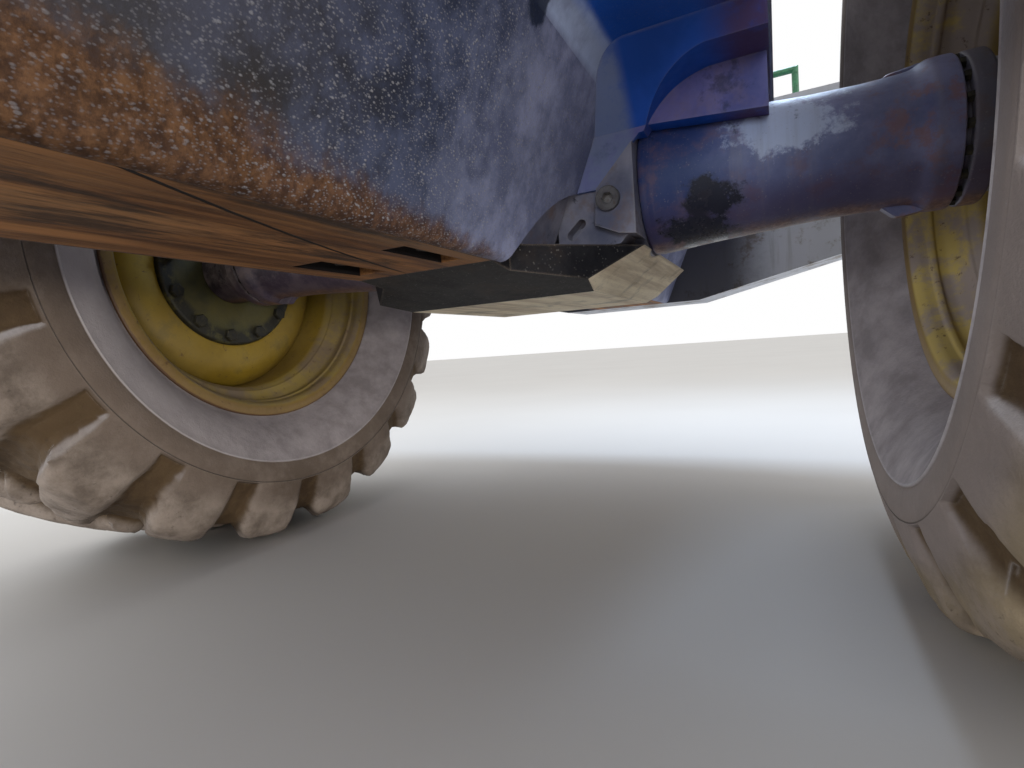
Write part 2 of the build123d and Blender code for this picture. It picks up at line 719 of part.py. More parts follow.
# Planetary cover on the hub's outer face
with BuildPart() as hub_cover:
    with BuildSketch(AXLE_PLANE):
        with BuildLine():
            Polyline(
                (HUB_BACK_X, 0),
                (HUB_BACK_X, COVER_RADIUS),
                (HUB_BACK_X + COVER_LENGTH - COVER_CONE, COVER_RADIUS),
                (HUB_BACK_X + COVER_LENGTH, COVER_END_RADIUS),
                (HUB_BACK_X + COVER_LENGTH, 0),
                close=True,
            )
        make_face()
    revolve(axis=AXLE_LINE)

# Bolt heads on the drum's face and nuts on the flange
with BuildPart() as hub_bolts:
    with BuildSketch(SIDE_VIEW.offset(HUB_FACE_X - NUT_HEIGHT)):
        with PolarLocations(HUB_PITCH_RADIUS, STUDS):
            RegularPolygon(NUT_WIDTH / 2, 6, major_radius=False)
    extrude(amount=NUT_HEIGHT)

with BuildPart() as wheel_nuts:
    with BuildSketch(SIDE_VIEW.offset(HUB_BACK_X)):
        with PolarLocations(NUT_PITCH_RADIUS, STUDS):
            RegularPolygon(NUT_WIDTH / 2, 6, major_radius=False)
    extrude(amount=NUT_HEIGHT)

# Lug envelope: flat-sided about the tyre's axis, with one flat for each lug of both rows
FACETS = 2 * LUGS_PER_SIDE
TURN = 180 / FACETS
LUG_CROWN = [
    (LUG_PLAN[0][0], TYRE_RADIUS),
    (TREAD_HALF - LUG_EDGE, TYRE_RADIUS),
    (TREAD_HALF, TYRE_RADIUS - LUG_EDGE),
    (CARCASS_HALF, LUG_FOOT_RADIUS),
]
with BuildPart() as lug_room:
    for (offset_u, radius), (next_u, next_radius) in zip(LUG_CROWN, LUG_CROWN[1:]):
        with BuildSketch(Plane.XY.offset(offset_u)):
            RegularPolygon(radius, FACETS, rotation=TURN)
        extrude(amount=next_u - offset_u, taper=flat_taper(radius - next_radius, next_u - offset_u))
    with BuildSketch(Plane.XY.offset(LUG_PLAN[0][0])):
        RegularPolygon(MOULD_LINE_RADIUS - LUG_SINK, FACETS, rotation=TURN)
    extrude(amount=CARCASS_HALF - LUG_PLAN[0][0], mode=Mode.SUBTRACT)

# Lug, in the wheel's own frame: X out along a radius, Z across the tyre
with BuildPart() as lug:
    with BuildSketch(Plane.YZ):
        with BuildLine():
            front_edge = [(place - half, offset_u) for offset_u, place, half in LUG_PLAN]
            back_edge = [(place + half, offset_u) for offset_u, place, half in reversed(LUG_PLAN)]
            Polyline(*front_edge, *back_edge, close=True)
        make_face()
    extrude(amount=TYRE_RADIUS + LUG_SINK)
    add(lug_room.part, mode=Mode.INTERSECT)

# Tyre, with its lugs in two staggered rows; one half is shaped and then mirrored
BEAD_U = RIM_HALF - RIM_FLANGE_PLATE - SEAT
DISH = CARCASS_HALF - BEAD_U
CARCASS = [(0.0, CARCASS_RADIUS), (TREAD_HALF, CARCASS_RADIUS), (CARCASS_HALF, MOULD_LINE_RADIUS)]
with BuildPart() as tyre:
    for (offset_u, radius), (next_u, next_radius) in zip(CARCASS, CARCASS[1:]):
        with BuildSketch(Plane.XY.offset(offset_u)):
            RegularPolygon(radius, FACETS, rotation=TURN)
        extrude(amount=next_u - offset_u, taper=flat_taper(radius - next_radius, next_u - offset_u))
    mirror(about=Plane.XY, mode=Mode.REPLACE)
    with BuildSketch(Plane.XY.offset(-CARCASS_HALF)):
        RegularPolygon(SIDEWALL_RADIUS, FACETS, rotation=TURN)
    extrude(amount=DISH, taper=flat_taper(SIDEWALL_RADIUS - BEAD_TOP_RADIUS, DISH), mode=Mode.SUBTRACT)
    with BuildSketch(Plane.XY):
        RegularPolygon(BEAD_SEAT_RADIUS + SEAT, FACETS, rotation=TURN, major_radius=False)
    extrude(amount=-CARCASS_HALF, mode=Mode.SUBTRACT)
    mirror(about=Plane.XY)
    with PolarLocations(0, LUGS_PER_SIDE):
        add(lug.part)
    with PolarLocations(0, LUGS_PER_SIDE, start_angle=180 / LUGS_PER_SIDE):
        add(mirror(lug.part, about=Plane.XY, mode=Mode.PRIVATE))

WHEEL_FRAME = Plane(origin=(WHEEL_X, AXLE_Y, AXLE_Z), x_dir=(0, 0, -1), z_dir=(1, 0, 0))
for side_name, side in SIDES:
    write(rim.part, f"rim_{side_name}", side)
    write(hub.part, f"hub_{side_name}", side)
    write(hub_cover.part, f"hub_cover_{side_name}", side)
    write(hub_bolts.part, f"hub_bolts_{side_name}", side)
    write(wheel_nuts.part, f"wheel_nuts_{side_name}", side)
    write(WHEEL_FRAME.location * tyre.part, f"tyre_{side_name}", side)
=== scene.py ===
import math

import bpy
import numpy as np
from mathutils import Matrix, Vector, noise


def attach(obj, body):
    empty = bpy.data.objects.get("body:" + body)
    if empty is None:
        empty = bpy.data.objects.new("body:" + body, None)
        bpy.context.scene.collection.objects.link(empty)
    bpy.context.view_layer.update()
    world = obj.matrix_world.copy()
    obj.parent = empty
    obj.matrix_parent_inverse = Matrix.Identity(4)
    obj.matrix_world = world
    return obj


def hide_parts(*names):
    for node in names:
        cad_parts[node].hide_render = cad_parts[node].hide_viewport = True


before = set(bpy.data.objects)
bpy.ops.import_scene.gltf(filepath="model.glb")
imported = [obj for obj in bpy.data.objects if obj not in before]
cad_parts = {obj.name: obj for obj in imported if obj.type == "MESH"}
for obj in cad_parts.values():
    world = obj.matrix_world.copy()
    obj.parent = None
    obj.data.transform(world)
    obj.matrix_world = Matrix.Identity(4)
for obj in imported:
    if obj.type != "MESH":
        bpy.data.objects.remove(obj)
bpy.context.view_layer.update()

# Stations of the part, in metres, as the frame has them
AXLE_Y = 1.85
AXLE_Z = -0.1275
FLOOR_Z = -0.95
WHEEL_X = 1.09


# Node helpers for materials

class Nodes:
    """A material's node tree, with short calls for the nodes used here."""

    def __init__(self, name):
        self.mat = bpy.data.materials.new(name)
        self.mat.use_nodes = True
        self.tree = self.mat.node_tree
        self.shader = self.tree.nodes["Principled BSDF"]
        self.coords = self.tree.nodes.new("ShaderNodeTexCoord").outputs["Object"]

    def link(self, source, target):
        if isinstance(source, (int, float)):
            target.default_value = source
        elif isinstance(source, tuple):
            target.default_value = source + (1.0,) if len(source) == 3 else source
        else:
            self.tree.links.new(source, target)

    def scaled(self, scale, offset=(0.0, 0.0, 0.0)):
        node = self.tree.nodes.new("ShaderNodeMapping")
        node.inputs["Scale"].default_value = scale
        node.inputs["Location"].default_value = offset
        self.link(self.coords, node.inputs["Vector"])
        return node.outputs["Vector"]

    def noise(self, scale, detail, rough, vector=None):
        node = self.tree.nodes.new("ShaderNodeTexNoise")
        node.inputs["Scale"].default_value = scale
        node.inputs["Detail"].default_value = detail
        node.inputs["Roughness"].default_value = rough
        self.link(vector or self.coords, node.inputs["Vector"])
        return node.outputs["Fac"]

    def cells(self, scale, vector=None):
        node = self.tree.nodes.new("ShaderNodeTexVoronoi")
        node.inputs["Scale"].default_value = scale
        self.link(vector or self.coords, node.inputs["Vector"])
        return node.outputs["Distance"]

    def ramp(self, source, low, high, start=0.0, end=1.0):
        """Map source from low..high to start..end, clamped and smooth."""
        node = self.tree.nodes.new("ShaderNodeMapRange")
        node.interpolation_type = "SMOOTHSTEP"
        self.link(source, node.inputs["Value"])
        node.inputs["From Min"].default_value = low
        node.inputs["From Max"].default_value = high
        node.inputs["To Min"].default_value = start
        node.inputs["To Max"].default_value = end
        return node.outputs["Result"]

    def math(self, operation, a, b=None):
        node = self.tree.nodes.new("ShaderNodeMath")
        node.operation = operation
        self.link(a, node.inputs[0])
        if b is not None:
            self.link(b, node.inputs[1])
        return node.outputs[0]

    def plus(self, a, b):
        return self.math("ADD", a, b)

    def minus(self, a, b):
        return self.math("SUBTRACT", a, b)

    def times(self, a, b):
        return self.math("MULTIPLY", a, b)

    def mix(self, factor, a, b):
        node = self.tree.nodes.new("ShaderNodeMix")
        node.data_type = "RGBA"
        node.clamp_factor = True
        self.link(factor, node.inputs[0])
        self.link(a, node.inputs[6])
        self.link(b, node.inputs[7])
        return node.outputs[2]

    def cover(self, under, over, mask, share):
        """The under color with the over color on it where the mask is, up to the share."""
        return self.mix(self.times(mask, share), under, over)

    def axis(self, name, source=None):
        node = self.tree.nodes.new("ShaderNodeSeparateXYZ")
        self.link(source or self.coords, node.inputs[0])
        return node.outputs[name]

    def normal_axis(self, name):
        geometry = self.tree.nodes.new("ShaderNodeNewGeometry")
        return self.axis(name, geometry.outputs["Normal"])

    def attribute(self, name):
        node = self.tree.nodes.new("ShaderNodeAttribute")
        node.attribute_name = name
        return node.outputs["Fac"]

    def edges(self, radius):
        """A mask that is 1 along edges within about the radius."""
        bevel = self.tree.nodes.new("ShaderNodeBevel")
        bevel.samples = 2
        bevel.inputs["Radius"].default_value = radius
        geometry = self.tree.nodes.new("ShaderNodeNewGeometry")
        dot = self.tree.nodes.new("ShaderNodeVectorMath")
        dot.operation = "DOT_PRODUCT"
        self.link(bevel.outputs["Normal"], dot.inputs[0])
        self.link(geometry.outputs["Normal"], dot.inputs[1])
        return self.ramp(dot.outputs["Value"], 0.995, 0.85)

    def radius(self):
        """Distance from the axle line, in metres."""
        y = self.minus(self.axis("Y"), AXLE_Y)
        z = self.minus(self.axis("Z"), AXLE_Z)
        return self.math("SQRT", self.plus(self.times(y, y), self.times(z, z)))

    def stain(self, places, rough=0.8):
        """A mask that is 1 in ragged blots, each given as (axis, axis, centre, centre, reach, reach)."""
        ragged = self.times(self.minus(self.noise(30.0, 6, 0.7), 0.5), 2 * rough)
        mask = None
        for first, second, a, b, reach_a, reach_b in places:
            u = self.math("DIVIDE", self.minus(self.axis(first), a), reach_a)
            v = self.math("DIVIDE", self.minus(self.axis(second), b), reach_b)
            far = self.plus(self.times(u, u), self.times(v, v))
            blot = self.ramp(self.plus(self.math("SQRT", far), ragged), 1.15, 0.75)
            mask = blot if mask is None else self.math("MAXIMUM", mask, blot)
        return mask

    def bump(self, height, strength, distance):
        node = self.tree.nodes.new("ShaderNodeBump")
        node.inputs["Strength"].default_value = strength
        node.inputs["Distance"].default_value = distance
        self.link(height, node.inputs["Height"])
        return node.outputs["Normal"]

    def finish(self, color, roughness, normal=None, metallic=0.0, specular=None):
        self.link(color, self.shader.inputs["Base Color"])
        self.link(roughness, self.shader.inputs["Roughness"])
        self.link(metallic, self.shader.inputs["Metallic"])
        if normal is not None:
            self.link(normal, self.shader.inputs["Normal"])
        if specular is not None:
            self.shader.inputs["Specular IOR Level"].default_value = specular
        return self.mat


# Mesh helpers

def mesh_object(name, points, faces, material, smooth_angle=40.0):
    """A mesh object from points in metres and faces, smooth apart from edges sharper than the angle."""
    mesh = bpy.data.meshes.new(name)
    mesh.from_pydata([tuple(map(float, p)) for p in points], [], faces)
    mesh.validate()
    piece = bpy.data.objects.new(name, mesh)
    bpy.context.scene.collection.objects.link(piece)
    mesh.materials.append(material)
    mesh.shade_smooth()
    mesh.set_sharp_from_angle(angle=math.radians(smooth_angle))
    return piece


def rounded(points, radius, steps=3):
    """A closed outline with its corners cut to arcs of about the given radius."""
    out = []
    count = len(points)
    for i, (x, y) in enumerate(points):
        corner = Vector((x, y))
        before = Vector(points[i - 1]) - corner
        after = Vector(points[(i + 1) % count]) - corner
        reach = min(radius, before.length * 0.45, after.length * 0.45)
        start = corner + before.normalized() * reach
        end = corner + after.normalized() * reach
        for k in range(steps + 1):
            t = k / steps
            out.append(tuple(start * (1 - t) ** 2 + corner * 2 * t * (1 - t) + end * t * t))
    return out


def skin_faces(rings, count, side):
    """Faces between closed rings of count points, the last ring joined to the first."""
    faces = []
    for i in range(rings):
        a, b = i * count, (i + 1) % rings * count
        for j in range(count):
            k = (j + 1) % count
            quad = (a + j, a + k, b + k, b + j)
            faces.append(quad if side == 1 else quad[::-1])
    return faces


def lathe(name, outline, side, material, segments, origin_x=0.0):
    """Turn a closed outline of (x, radius) about the axle line; side -1 mirrors it to the left."""
    points = []
    for i in range(segments):
        angle = 2 * math.pi * i / segments
        for x, r in outline:
            y, z = AXLE_Y + r * math.sin(angle), AXLE_Z + r * math.cos(angle)
            points.append((side * (origin_x + x), y, z))
    return mesh_object(name, points, skin_faces(segments, len(outline), side), material)


def place(piece, body, node):
    """Let a piece ride on a body in place of a CAD node, which is hidden."""
    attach(piece, body)
    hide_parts(node)


# Tyres

LUGS = 19
PITCH = 2 * math.pi / LUGS
# Angle round the wheel of the first lug of the outer row, as in the CAD tyre
FIRST_LUG = PITCH / 2
# Columns of one lug pitch, as shares of it from the lug's middle
HALF_COLUMNS = [0.0, 0.05, 0.1, 0.15, 0.18, 0.205, 0.235, 0.265, 0.295, 0.32, 0.35, 0.4, 0.45]
COLUMNS = HALF_COLUMNS + [0.5] + [1 - q for q in reversed(HALF_COLUMNS[1:])]
# Half section of the tyre: lug surface and floor between lugs, offset and radius, and lug half width
#    top_u   top_r   floor_u floor_r half_width
TREAD = [
    (0.0000, 0.8225, 0.000, 0.7790, 0.036),
    (0.0600, 0.8225, 0.060, 0.7790, 0.044),
    (0.1300, 0.8222, 0.130, 0.7780, 0.057),
    (0.2000, 0.8215, 0.200, 0.7750, 0.069),
    (0.2550, 0.8190, 0.248, 0.7690, 0.077),
    (0.2840, 0.8140, 0.276, 0.7600, 0.079),
    (0.3020, 0.8030, 0.293, 0.7480, 0.079),
    (0.3150, 0.7860, 0.306, 0.7310, 0.078),
    (0.3310, 0.7480, 0.320, 0.7070, 0.076),
    (0.3460, 0.7060, 0.333, 0.6810, 0.075),
    (0.3550, 0.6740, 0.341, 0.6650, 0.073),
    (0.3585, 0.6580, 0.344, 0.6575, 0.072),
]
# Side wall from the mould line to the bead: offset and radius
SIDE_WALL = [
    (0.3595, 0.654), (0.36, 0.6525), (0.3578, 0.6508), (0.36, 0.649), (0.3605, 0.635),
    (0.36, 0.618), (0.358, 0.604), (0.3545, 0.5965), (0.3572, 0.593), (0.3535, 0.5885),
    (0.348, 0.576), (0.333, 0.55), (0.308, 0.518), (0.278, 0.491), (0.252, 0.474),
    (0.24, 0.466), (0.2355, 0.458), (0.235, 0.436), (0.21, 0.4335),
]
# Height of a lug's wall by distance inside its edge, in metres
WALL_INSET = [-0.032, -0.018, 0.001, 0.012, 0.03]
WALL_HEIGHT = [0.0, 0.13, 0.82, 0.945, 1.0]
# How wide that wall is by radius: steep at the mould line, full width on the tread
WALL_WIDTH_R = [0.66, 0.7, 0.78]
WALL_WIDTH = [0.3, 0.65, 1.0]
# Middle line of a lug: offset across the tyre and how far round it has swept, in metres
SWEEP_U = [0.0, 0.13, 0.3]
SWEEP_T = [0.182, 0.085, 0.0]
SWEEP_RADIUS = 0.8
# How far a lug reaches past the middle of the tyre, and the width of the columns on a lug's wall
NOSE_REACH = 0.012
WALL_EDGE = 0.016
# Distance between rings on the tread
ROW_STEP = 0.0115
# Wear: share of a lug's height, then ragged edges, chips, caked mud and scars in metres
WEAR = 0.07
RAGGED = 0.007
CHIPS = 0.004
MUD = 0.006
SCARS = 0.006
# Radius where the lugs end on the side wall
MOULD_LINE = 0.6545


def resample(rows, step):
    """Points along a polyline of rows at about the given step, measured in the first two columns."""
    rows = np.array(rows)
    length = np.concatenate([[0], np.cumsum(np.hypot(np.diff(rows[:, 0]), np.diff(rows[:, 1])))])
    count = max(2, round(length[-1] / step))
    at = np.linspace(0, length[-1], count + 1)
    return np.stack([np.interp(at, length, rows[:, c]) for c in range(rows.shape[1])], axis=1)


def smoothstep(low, high, x):
    t = np.clip((x - low) / (high - low), 0, 1)
    return t * t * (3 - 2 * t)


def tyre_rows():
    """Rows across the whole tyre, from the outer bead to the inner: top, floor and lug half width."""
    tread = resample(TREAD, ROW_STEP)
    wall = np.array(SIDE_WALL)
    width = np.full((len(wall), 1), TREAD[-1][-1])
    half = np.concatenate([tread, np.concatenate([wall, wall, width], axis=1)])
    inner = half[1:].copy()
    inner[:, [0, 2]] *= -1
    return np.concatenate([half[::-1], inner])


def warp(share, half_angle, edge):
    """Angle from a lug's middle of a column at a signed share of the pitch; columns follow its edges."""
    knots = [0, 0.15, 0.18, 0.205, 0.235, 0.265, 0.5]
    places = [0, half_angle - 1.9 * edge, half_angle - 0.7 * edge, half_angle, half_angle + edge,
              half_angle + 2.1 * edge, PITCH / 2]
    return np.sign(share) * np.interp(np.abs(share), knots, places)


def lug_height(angle, middle, radius, half_width, end_inset, shake, wall_width):
    """How far up its lug a point is, from 0 on the floor to 1 on the top."""
    off = (angle - middle + PITCH / 2) % PITCH - PITCH / 2
    inset = np.minimum(half_width - np.abs(off) * radius, end_inset) + shake
    return np.interp(inset / wall_width, WALL_INSET, WALL_HEIGHT)


def surface_noise(points, scale, octaves=3):
    """Fractal noise at each point, about -1 to 1."""
    return np.array([noise.fractal(Vector(p) * scale, 0.8, 2.1, octaves) for p in points])


def ring_angles(shares, pitches, sweep, half_angle, edge, u):
    """Angles of one ring's points: the columns follow the outer row's lugs, or the inner row's."""
    low = warp(shares, half_angle, edge)
    low = np.where(shares <= 0.5, low, PITCH + warp(shares - 1, half_angle, edge))
    high = PITCH / 2 + warp(shares - 0.5, half_angle, edge)
    outer_share = float(smoothstep(-0.02, 0.02, np.array(u)))
    return sweep + pitches + outer_share * low + (1 - outer_share) * high


def tyre_ring(row, side, shares, pitches):
    """Points of one ring round the tyre, and how far up a lug each of them is."""
    top_u, top_r, floor_u, floor_r, half_width = row
    u = 0.5 * (top_u + floor_u)
    wall_width = float(np.interp(top_r, WALL_WIDTH_R, WALL_WIDTH))
    sweep = FIRST_LUG - np.interp(abs(u), SWEEP_U, SWEEP_T) / SWEEP_RADIUS
    edge = WALL_EDGE * wall_width / top_r
    angle = ring_angles(shares, pitches, sweep, half_width / top_r, edge, u)
    ring = np.stack([np.full(len(angle), u), top_r * np.sin(angle), top_r * np.cos(angle)], axis=1)
    ring = ring + np.array([side * 3.1, 1.7, 5.3])
    rough, chips = surface_noise(ring, 22.0), surface_noise(ring, 70.0, 2)
    shake = (RAGGED * rough + CHIPS * chips) * wall_width
    outer = lug_height(angle, sweep, top_r, half_width, u + NOSE_REACH, shake, wall_width)
    inner = lug_height(angle, sweep + PITCH / 2, top_r, half_width, NOSE_REACH - u, shake, wall_width)
    wear = WEAR * np.clip(surface_noise(ring, 9.0), 0, 1) * smoothstep(0.68, 0.8, np.array(top_r))
    height = np.maximum(outer, inner) * (1 - wear)
    mud = MUD * (1 - height) * surface_noise(ring, 15.0)
    scars = SCARS * height * np.clip(surface_noise(ring, 42.0, 4), -1, 0.2)
    tread_share = smoothstep(MOULD_LINE, 0.7, np.array(top_r))
    crown_share = smoothstep(0.72, 0.8, np.array(top_r))
    r = floor_r + height * (top_r - floor_r) + mud * tread_share + scars * crown_share
    x = floor_u + height * (top_u - floor_u)
    points = [side * (WHEEL_X + x), AXLE_Y + r * np.sin(angle), AXLE_Z + r * np.cos(angle)]
    return np.stack(points, 1), np.where(top_r > MOULD_LINE, height, 1.0)


def make_tyre(side_name, side, material):
    """A worn forestry tyre: two staggered rows of swept lugs on a bulging carcass."""
    shares = np.tile(COLUMNS, LUGS)
    pitches = np.repeat(np.arange(LUGS), len(COLUMNS)) * PITCH
    rings = [tyre_ring(row, side, shares, pitches) for row in tyre_rows()]
    points = np.concatenate([ring for ring, height in rings])
    heights = np.concatenate([height for ring, height in rings])
    faces = skin_faces(len(rings), len(shares), side)
    tyre = mesh_object(f"tyre_skin_{side_name}", points, faces, material, 50)
    attribute = tyre.data.attributes.new("lug", "FLOAT", "POINT")
    attribute.data.foreach_set("value", heights.astype(np.float32))
    place(tyre, f"wheel_{side_name}", f"tyre_{side_name}")


# Materials of the wheels

def wall_rubber(n, r, right, grains):
    """Brown shoulder, and inside it the pale bead ring behind a ridge, with painted light on the left
    wheel's bead ring towards the front.
    """
    coarse, medium, fine = grains
    side = n.mix(n.ramp(coarse, 0.32, 0.7), (0.1, 0.073, 0.054), (0.165, 0.125, 0.098))
    side = n.cover(side, (0.215, 0.17, 0.14), n.ramp(medium, 0.4, 0.7), 0.5)
    side = n.cover(side, (0.27, 0.228, 0.215), right, 0.5)
    bead = n.ramp(n.plus(r, n.times(fine, 0.002)), 0.5985, 0.5955)
    bead_color = n.mix(n.ramp(medium, 0.28, 0.72), (0.215, 0.188, 0.19), (0.345, 0.305, 0.305))
    # Painted light: the left wheel's bead ring turns paler towards the front, where light falls on it.
    inner = n.times(n.ramp(n.axis("X"), 0.4, 0.2), n.ramp(n.axis("X"), -1.1, -0.95))
    dust = n.times(inner, n.ramp(n.axis("Y"), 1.8, 1.35))
    color = n.mix(bead, side, n.cover(bead_color, (0.44, 0.395, 0.385), dust, 0.6))
    ridge = n.times(n.ramp(r, 0.589, 0.5925), n.ramp(r, 0.5965, 0.5935))
    return n.cover(color, (0.42, 0.39, 0.39), ridge, n.ramp(fine, 0.3, 0.6, 0.2, 0.7))


def tread_rubber(n, color, r, right, grains):
    """Scuffed crown with mud on the right tyre, caked floors, and lug flanks facing up painted pale as
    painted light.
    """
    coarse, medium, fine = grains
    lug = n.attribute("lug")
    crown = n.mix(n.ramp(medium, 0.3, 0.68), (0.12, 0.092, 0.072), (0.26, 0.21, 0.172))
    color = n.mix(n.ramp(n.plus(r, n.times(coarse, 0.03)), 0.7, 0.76), color, crown)
    mud = n.times(right, n.ramp(r, 0.7, 0.76))
    mud = n.times(mud, n.ramp(n.noise(5.0, 6, 0.7), 0.35, 0.55, 0.2, 0.7))
    color = n.mix(mud, color, (0.2, 0.148, 0.078))
    floor_color = n.mix(n.ramp(coarse, 0.36, 0.66), (0.044, 0.025, 0.011), (0.088, 0.054, 0.025))
    floor_color = n.cover(floor_color, (0.11, 0.072, 0.036), n.ramp(fine, 0.42, 0.72), 0.45)
    floor = n.ramp(n.plus(lug, n.times(medium, 0.25)), 0.78, 0.22)
    color = n.mix(floor, color, floor_color)
    # Painted light: lug flanks that face up are made pale, as if lit from the sky.
    flank = n.times(n.ramp(lug, 0.2, 0.5), n.ramp(lug, 1.0, 0.93))
    pale = n.times(flank, n.ramp(n.normal_axis("Z"), 0.0, 0.55))
    return n.cover(color, (0.36, 0.33, 0.32), pale, n.ramp(medium, 0.25, 0.55, 0.45, 1.0))


def tyre_rubber():
    """Dusty rubber: bead ring, shoulder and tread, with rubbed edges, pits and the mould seam."""
    n = Nodes("tyre_rubber")
    r = n.radius()
    grains = n.noise(3.2, 5, 0.6), n.noise(13.0, 6, 0.68), n.noise(42.0, 6, 0.7)
    fine = grains[2]
    right = n.ramp(n.axis("X"), 0.2, 0.4)
    color = tread_rubber(n, wall_rubber(n, r, right, grains), r, right, grains)
    edge = n.times(n.edges(0.006), n.ramp(fine, 0.35, 0.6))
    edge = n.times(edge, n.ramp(r, 0.63, 0.7))
    color = n.cover(color, (0.38, 0.35, 0.335), edge, 0.7)
    pits = n.times(n.ramp(n.noise(75.0, 6, 0.78), 0.6, 0.68), n.ramp(r, 0.72, 0.8))
    color = n.cover(color, (0.06, 0.048, 0.04), pits, 0.7)
    seam = n.times(n.ramp(r, 0.649, 0.6505), n.ramp(r, 0.653, 0.6515))
    color = n.cover(color, (0.075, 0.06, 0.05), seam, 0.7)
    height = n.plus(n.times(fine, 0.7), n.times(n.noise(210.0, 3, 0.6), 0.3))
    height = n.minus(height, n.times(pits, 0.5))
    rings = n.noise(1.0, 2, 0.5, n.scaled((60.0, 2.0, 2.0)))
    height = n.plus(height, n.times(rings, 0.15))
    return n.finish(color, n.plus(n.times(fine, 0.2), 0.72), n.bump(height, 0.6, 0.006), specular=0.3)


def rim_yellow():
    """Ochre-yellow wheel paint, stained in the barrel, with a rusty lip and grime in the corners."""
    n = Nodes("rim_yellow")
    r = n.radius()
    coarse = n.noise(4.5, 5, 0.62)
    fine = n.noise(60.0, 6, 0.7)
    paint = n.mix(n.ramp(coarse, 0.35, 0.7), (0.205, 0.128, 0.008), (0.35, 0.23, 0.018))
    grime = n.times(n.ramp(n.noise(9.0, 6, 0.7), 0.48, 0.66), 0.6)
    color = n.mix(grime, paint, (0.1, 0.07, 0.022))
    barrel = n.times(n.ramp(r, 0.366, 0.376), n.ramp(r, 0.436, 0.428))
    stained = n.mix(n.ramp(n.noise(6.0, 6, 0.7), 0.42, 0.62), (0.17, 0.125, 0.095), (0.28, 0.205, 0.055))
    dusty = n.mix(n.ramp(n.noise(8.0, 6, 0.7), 0.42, 0.58), (0.33, 0.275, 0.265), (0.56, 0.42, 0.13))
    stained = n.mix(n.ramp(n.axis("X"), 0.2, 0.4), stained, dusty)
    color = n.cover(color, stained, barrel, 0.8)
    dust = n.times(n.ramp(n.noise(2.6, 4, 0.6), 0.4, 0.7), 0.15)
    color = n.mix(dust, color, (0.32, 0.26, 0.15))
    lip = n.times(n.ramp(r, 0.428, 0.44), n.ramp(fine, 0.25, 0.55, 0.35, 0.85))
    lip_color = n.mix(fine, (0.095, 0.046, 0.018), (0.29, 0.19, 0.072))
    color = n.mix(lip, color, lip_color)
    rust = n.ramp(n.plus(r, n.times(fine, 0.006)), 0.459, 0.463)
    color = n.cover(color, (0.08, 0.034, 0.016), rust, 0.85)
    pits = n.ramp(n.noise(40.0, 7, 0.75), 0.6, 0.66)
    color = n.cover(color, (0.1, 0.048, 0.02), pits, 0.75)
    roughness = n.plus(n.times(fine, 0.25), 0.42)
    height = n.plus(n.times(fine, 0.5), n.times(pits, -0.5))
    return n.finish(color, roughness, n.bump(height, 0.35, 0.002))


def hub_olive():
    """Hub paint gone dark olive under oil and dust, black round the bolts."""
    n = Nodes("hub_olive")
    r = n.radius()
    coarse = n.noise(7.0, 6, 0.65)
    fine = n.noise(90.0, 5, 0.7)
    color = n.mix(n.ramp(coarse, 0.35, 0.62), (0.028, 0.026, 0.012), (0.07, 0.064, 0.02))
    yellow = n.ramp(n.noise(3.4, 5, 0.6, offset_source(n)), 0.5, 0.66)
    color = n.cover(color, (0.115, 0.092, 0.018), yellow, 0.6)
    color = n.cover(color, (0.09, 0.078, 0.04), n.ramp(fine, 0.5, 0.8), 0.4)
    grime = n.times(n.ramp(r, 0.18, 0.202), n.ramp(n.noise(24.0, 6, 0.7), 0.38, 0.52))
    color = n.cover(color, (0.014, 0.013, 0.01), grime, 0.92)
    roughness = n.ramp(coarse, 0.3, 0.7, 0.38, 0.8)
    return n.finish(color, roughness, n.bump(fine, 0.4, 0.0025))


def offset_source(n):
    return n.scaled((1.0, 1.0, 1.0), offset=(4.2, 1.1, 7.7))


def greasy_bolts():
    """Bolt heads under black grease and olive dust."""
    n = Nodes("greasy_bolts")
    fine = n.noise(120.0, 5, 0.7)
    color = n.mix(n.ramp(fine, 0.4, 0.7), (0.01, 0.009, 0.007), (0.048, 0.042, 0.02))
    return n.finish(color, n.ramp(fine, 0.3, 0.7, 0.45, 0.8), n.bump(fine, 0.6, 0.002))


# Materials of the frame and the axle

# Blots for Nodes.stain: axis, axis, centre, centre, reach, reach
HULL_BLOT = [("Y", "Z", 1.375, 0.025, 0.026, 0.03)]
# Pale patches on the tube's top, one on each side: painted light falling through the gap beside the hull.
TUBE_LIT_PATCHES = [("X", "Z", 0.585, -0.085, 0.085, 0.05), ("X", "Z", -0.6, -0.08, 0.08, 0.04)]
TUBE_OIL = [("X", "Z", 0.455, -0.188, 0.05, 0.036), ("X", "Z", 0.425, -0.232, 0.06, 0.026)]
OUTER_BROWN = (0.088, 0.048, 0.11)
# Belly joint: where it starts, and its slope and curve along the machine
SEAM_START = (0.163, 0.854)
SEAM_SLOPE = -0.42
SEAM_CURVE = 0.17


def speckle(n, scale, low, high):
    """Small gravel flecks."""
    return n.times(n.ramp(n.cells(scale), high, low), n.ramp(n.noise(scale * 0.31, 4, 0.7), 0.45, 0.65))


def bend_highlight(n):
    """Mask of the painted highlight: a pale line along the hull's bend beside the axle."""
    face = n.normal_axis("Z")
    bend = n.times(n.ramp(face, -0.4, -0.55), n.ramp(face, -0.97, -0.9))
    high = n.times(n.ramp(n.axis("Z"), -0.05, 0.0), n.ramp(n.axis("Y"), 1.25, 1.45))
    return n.times(n.times(bend, high), n.ramp(n.noise(12.0, 4, 0.6), 0.3, 0.55, 0.5, 1.0))


def outer_brown(n, medium):
    """Mask of the overhang's outer part, where the painted shade is purple-brown instead of blue."""
    outer = n.ramp(n.math("ABSOLUTE", n.axis("X")), 0.455, 0.53)
    return n.times(outer, n.ramp(medium, 0.28, 0.55, 0.35, 0.9))


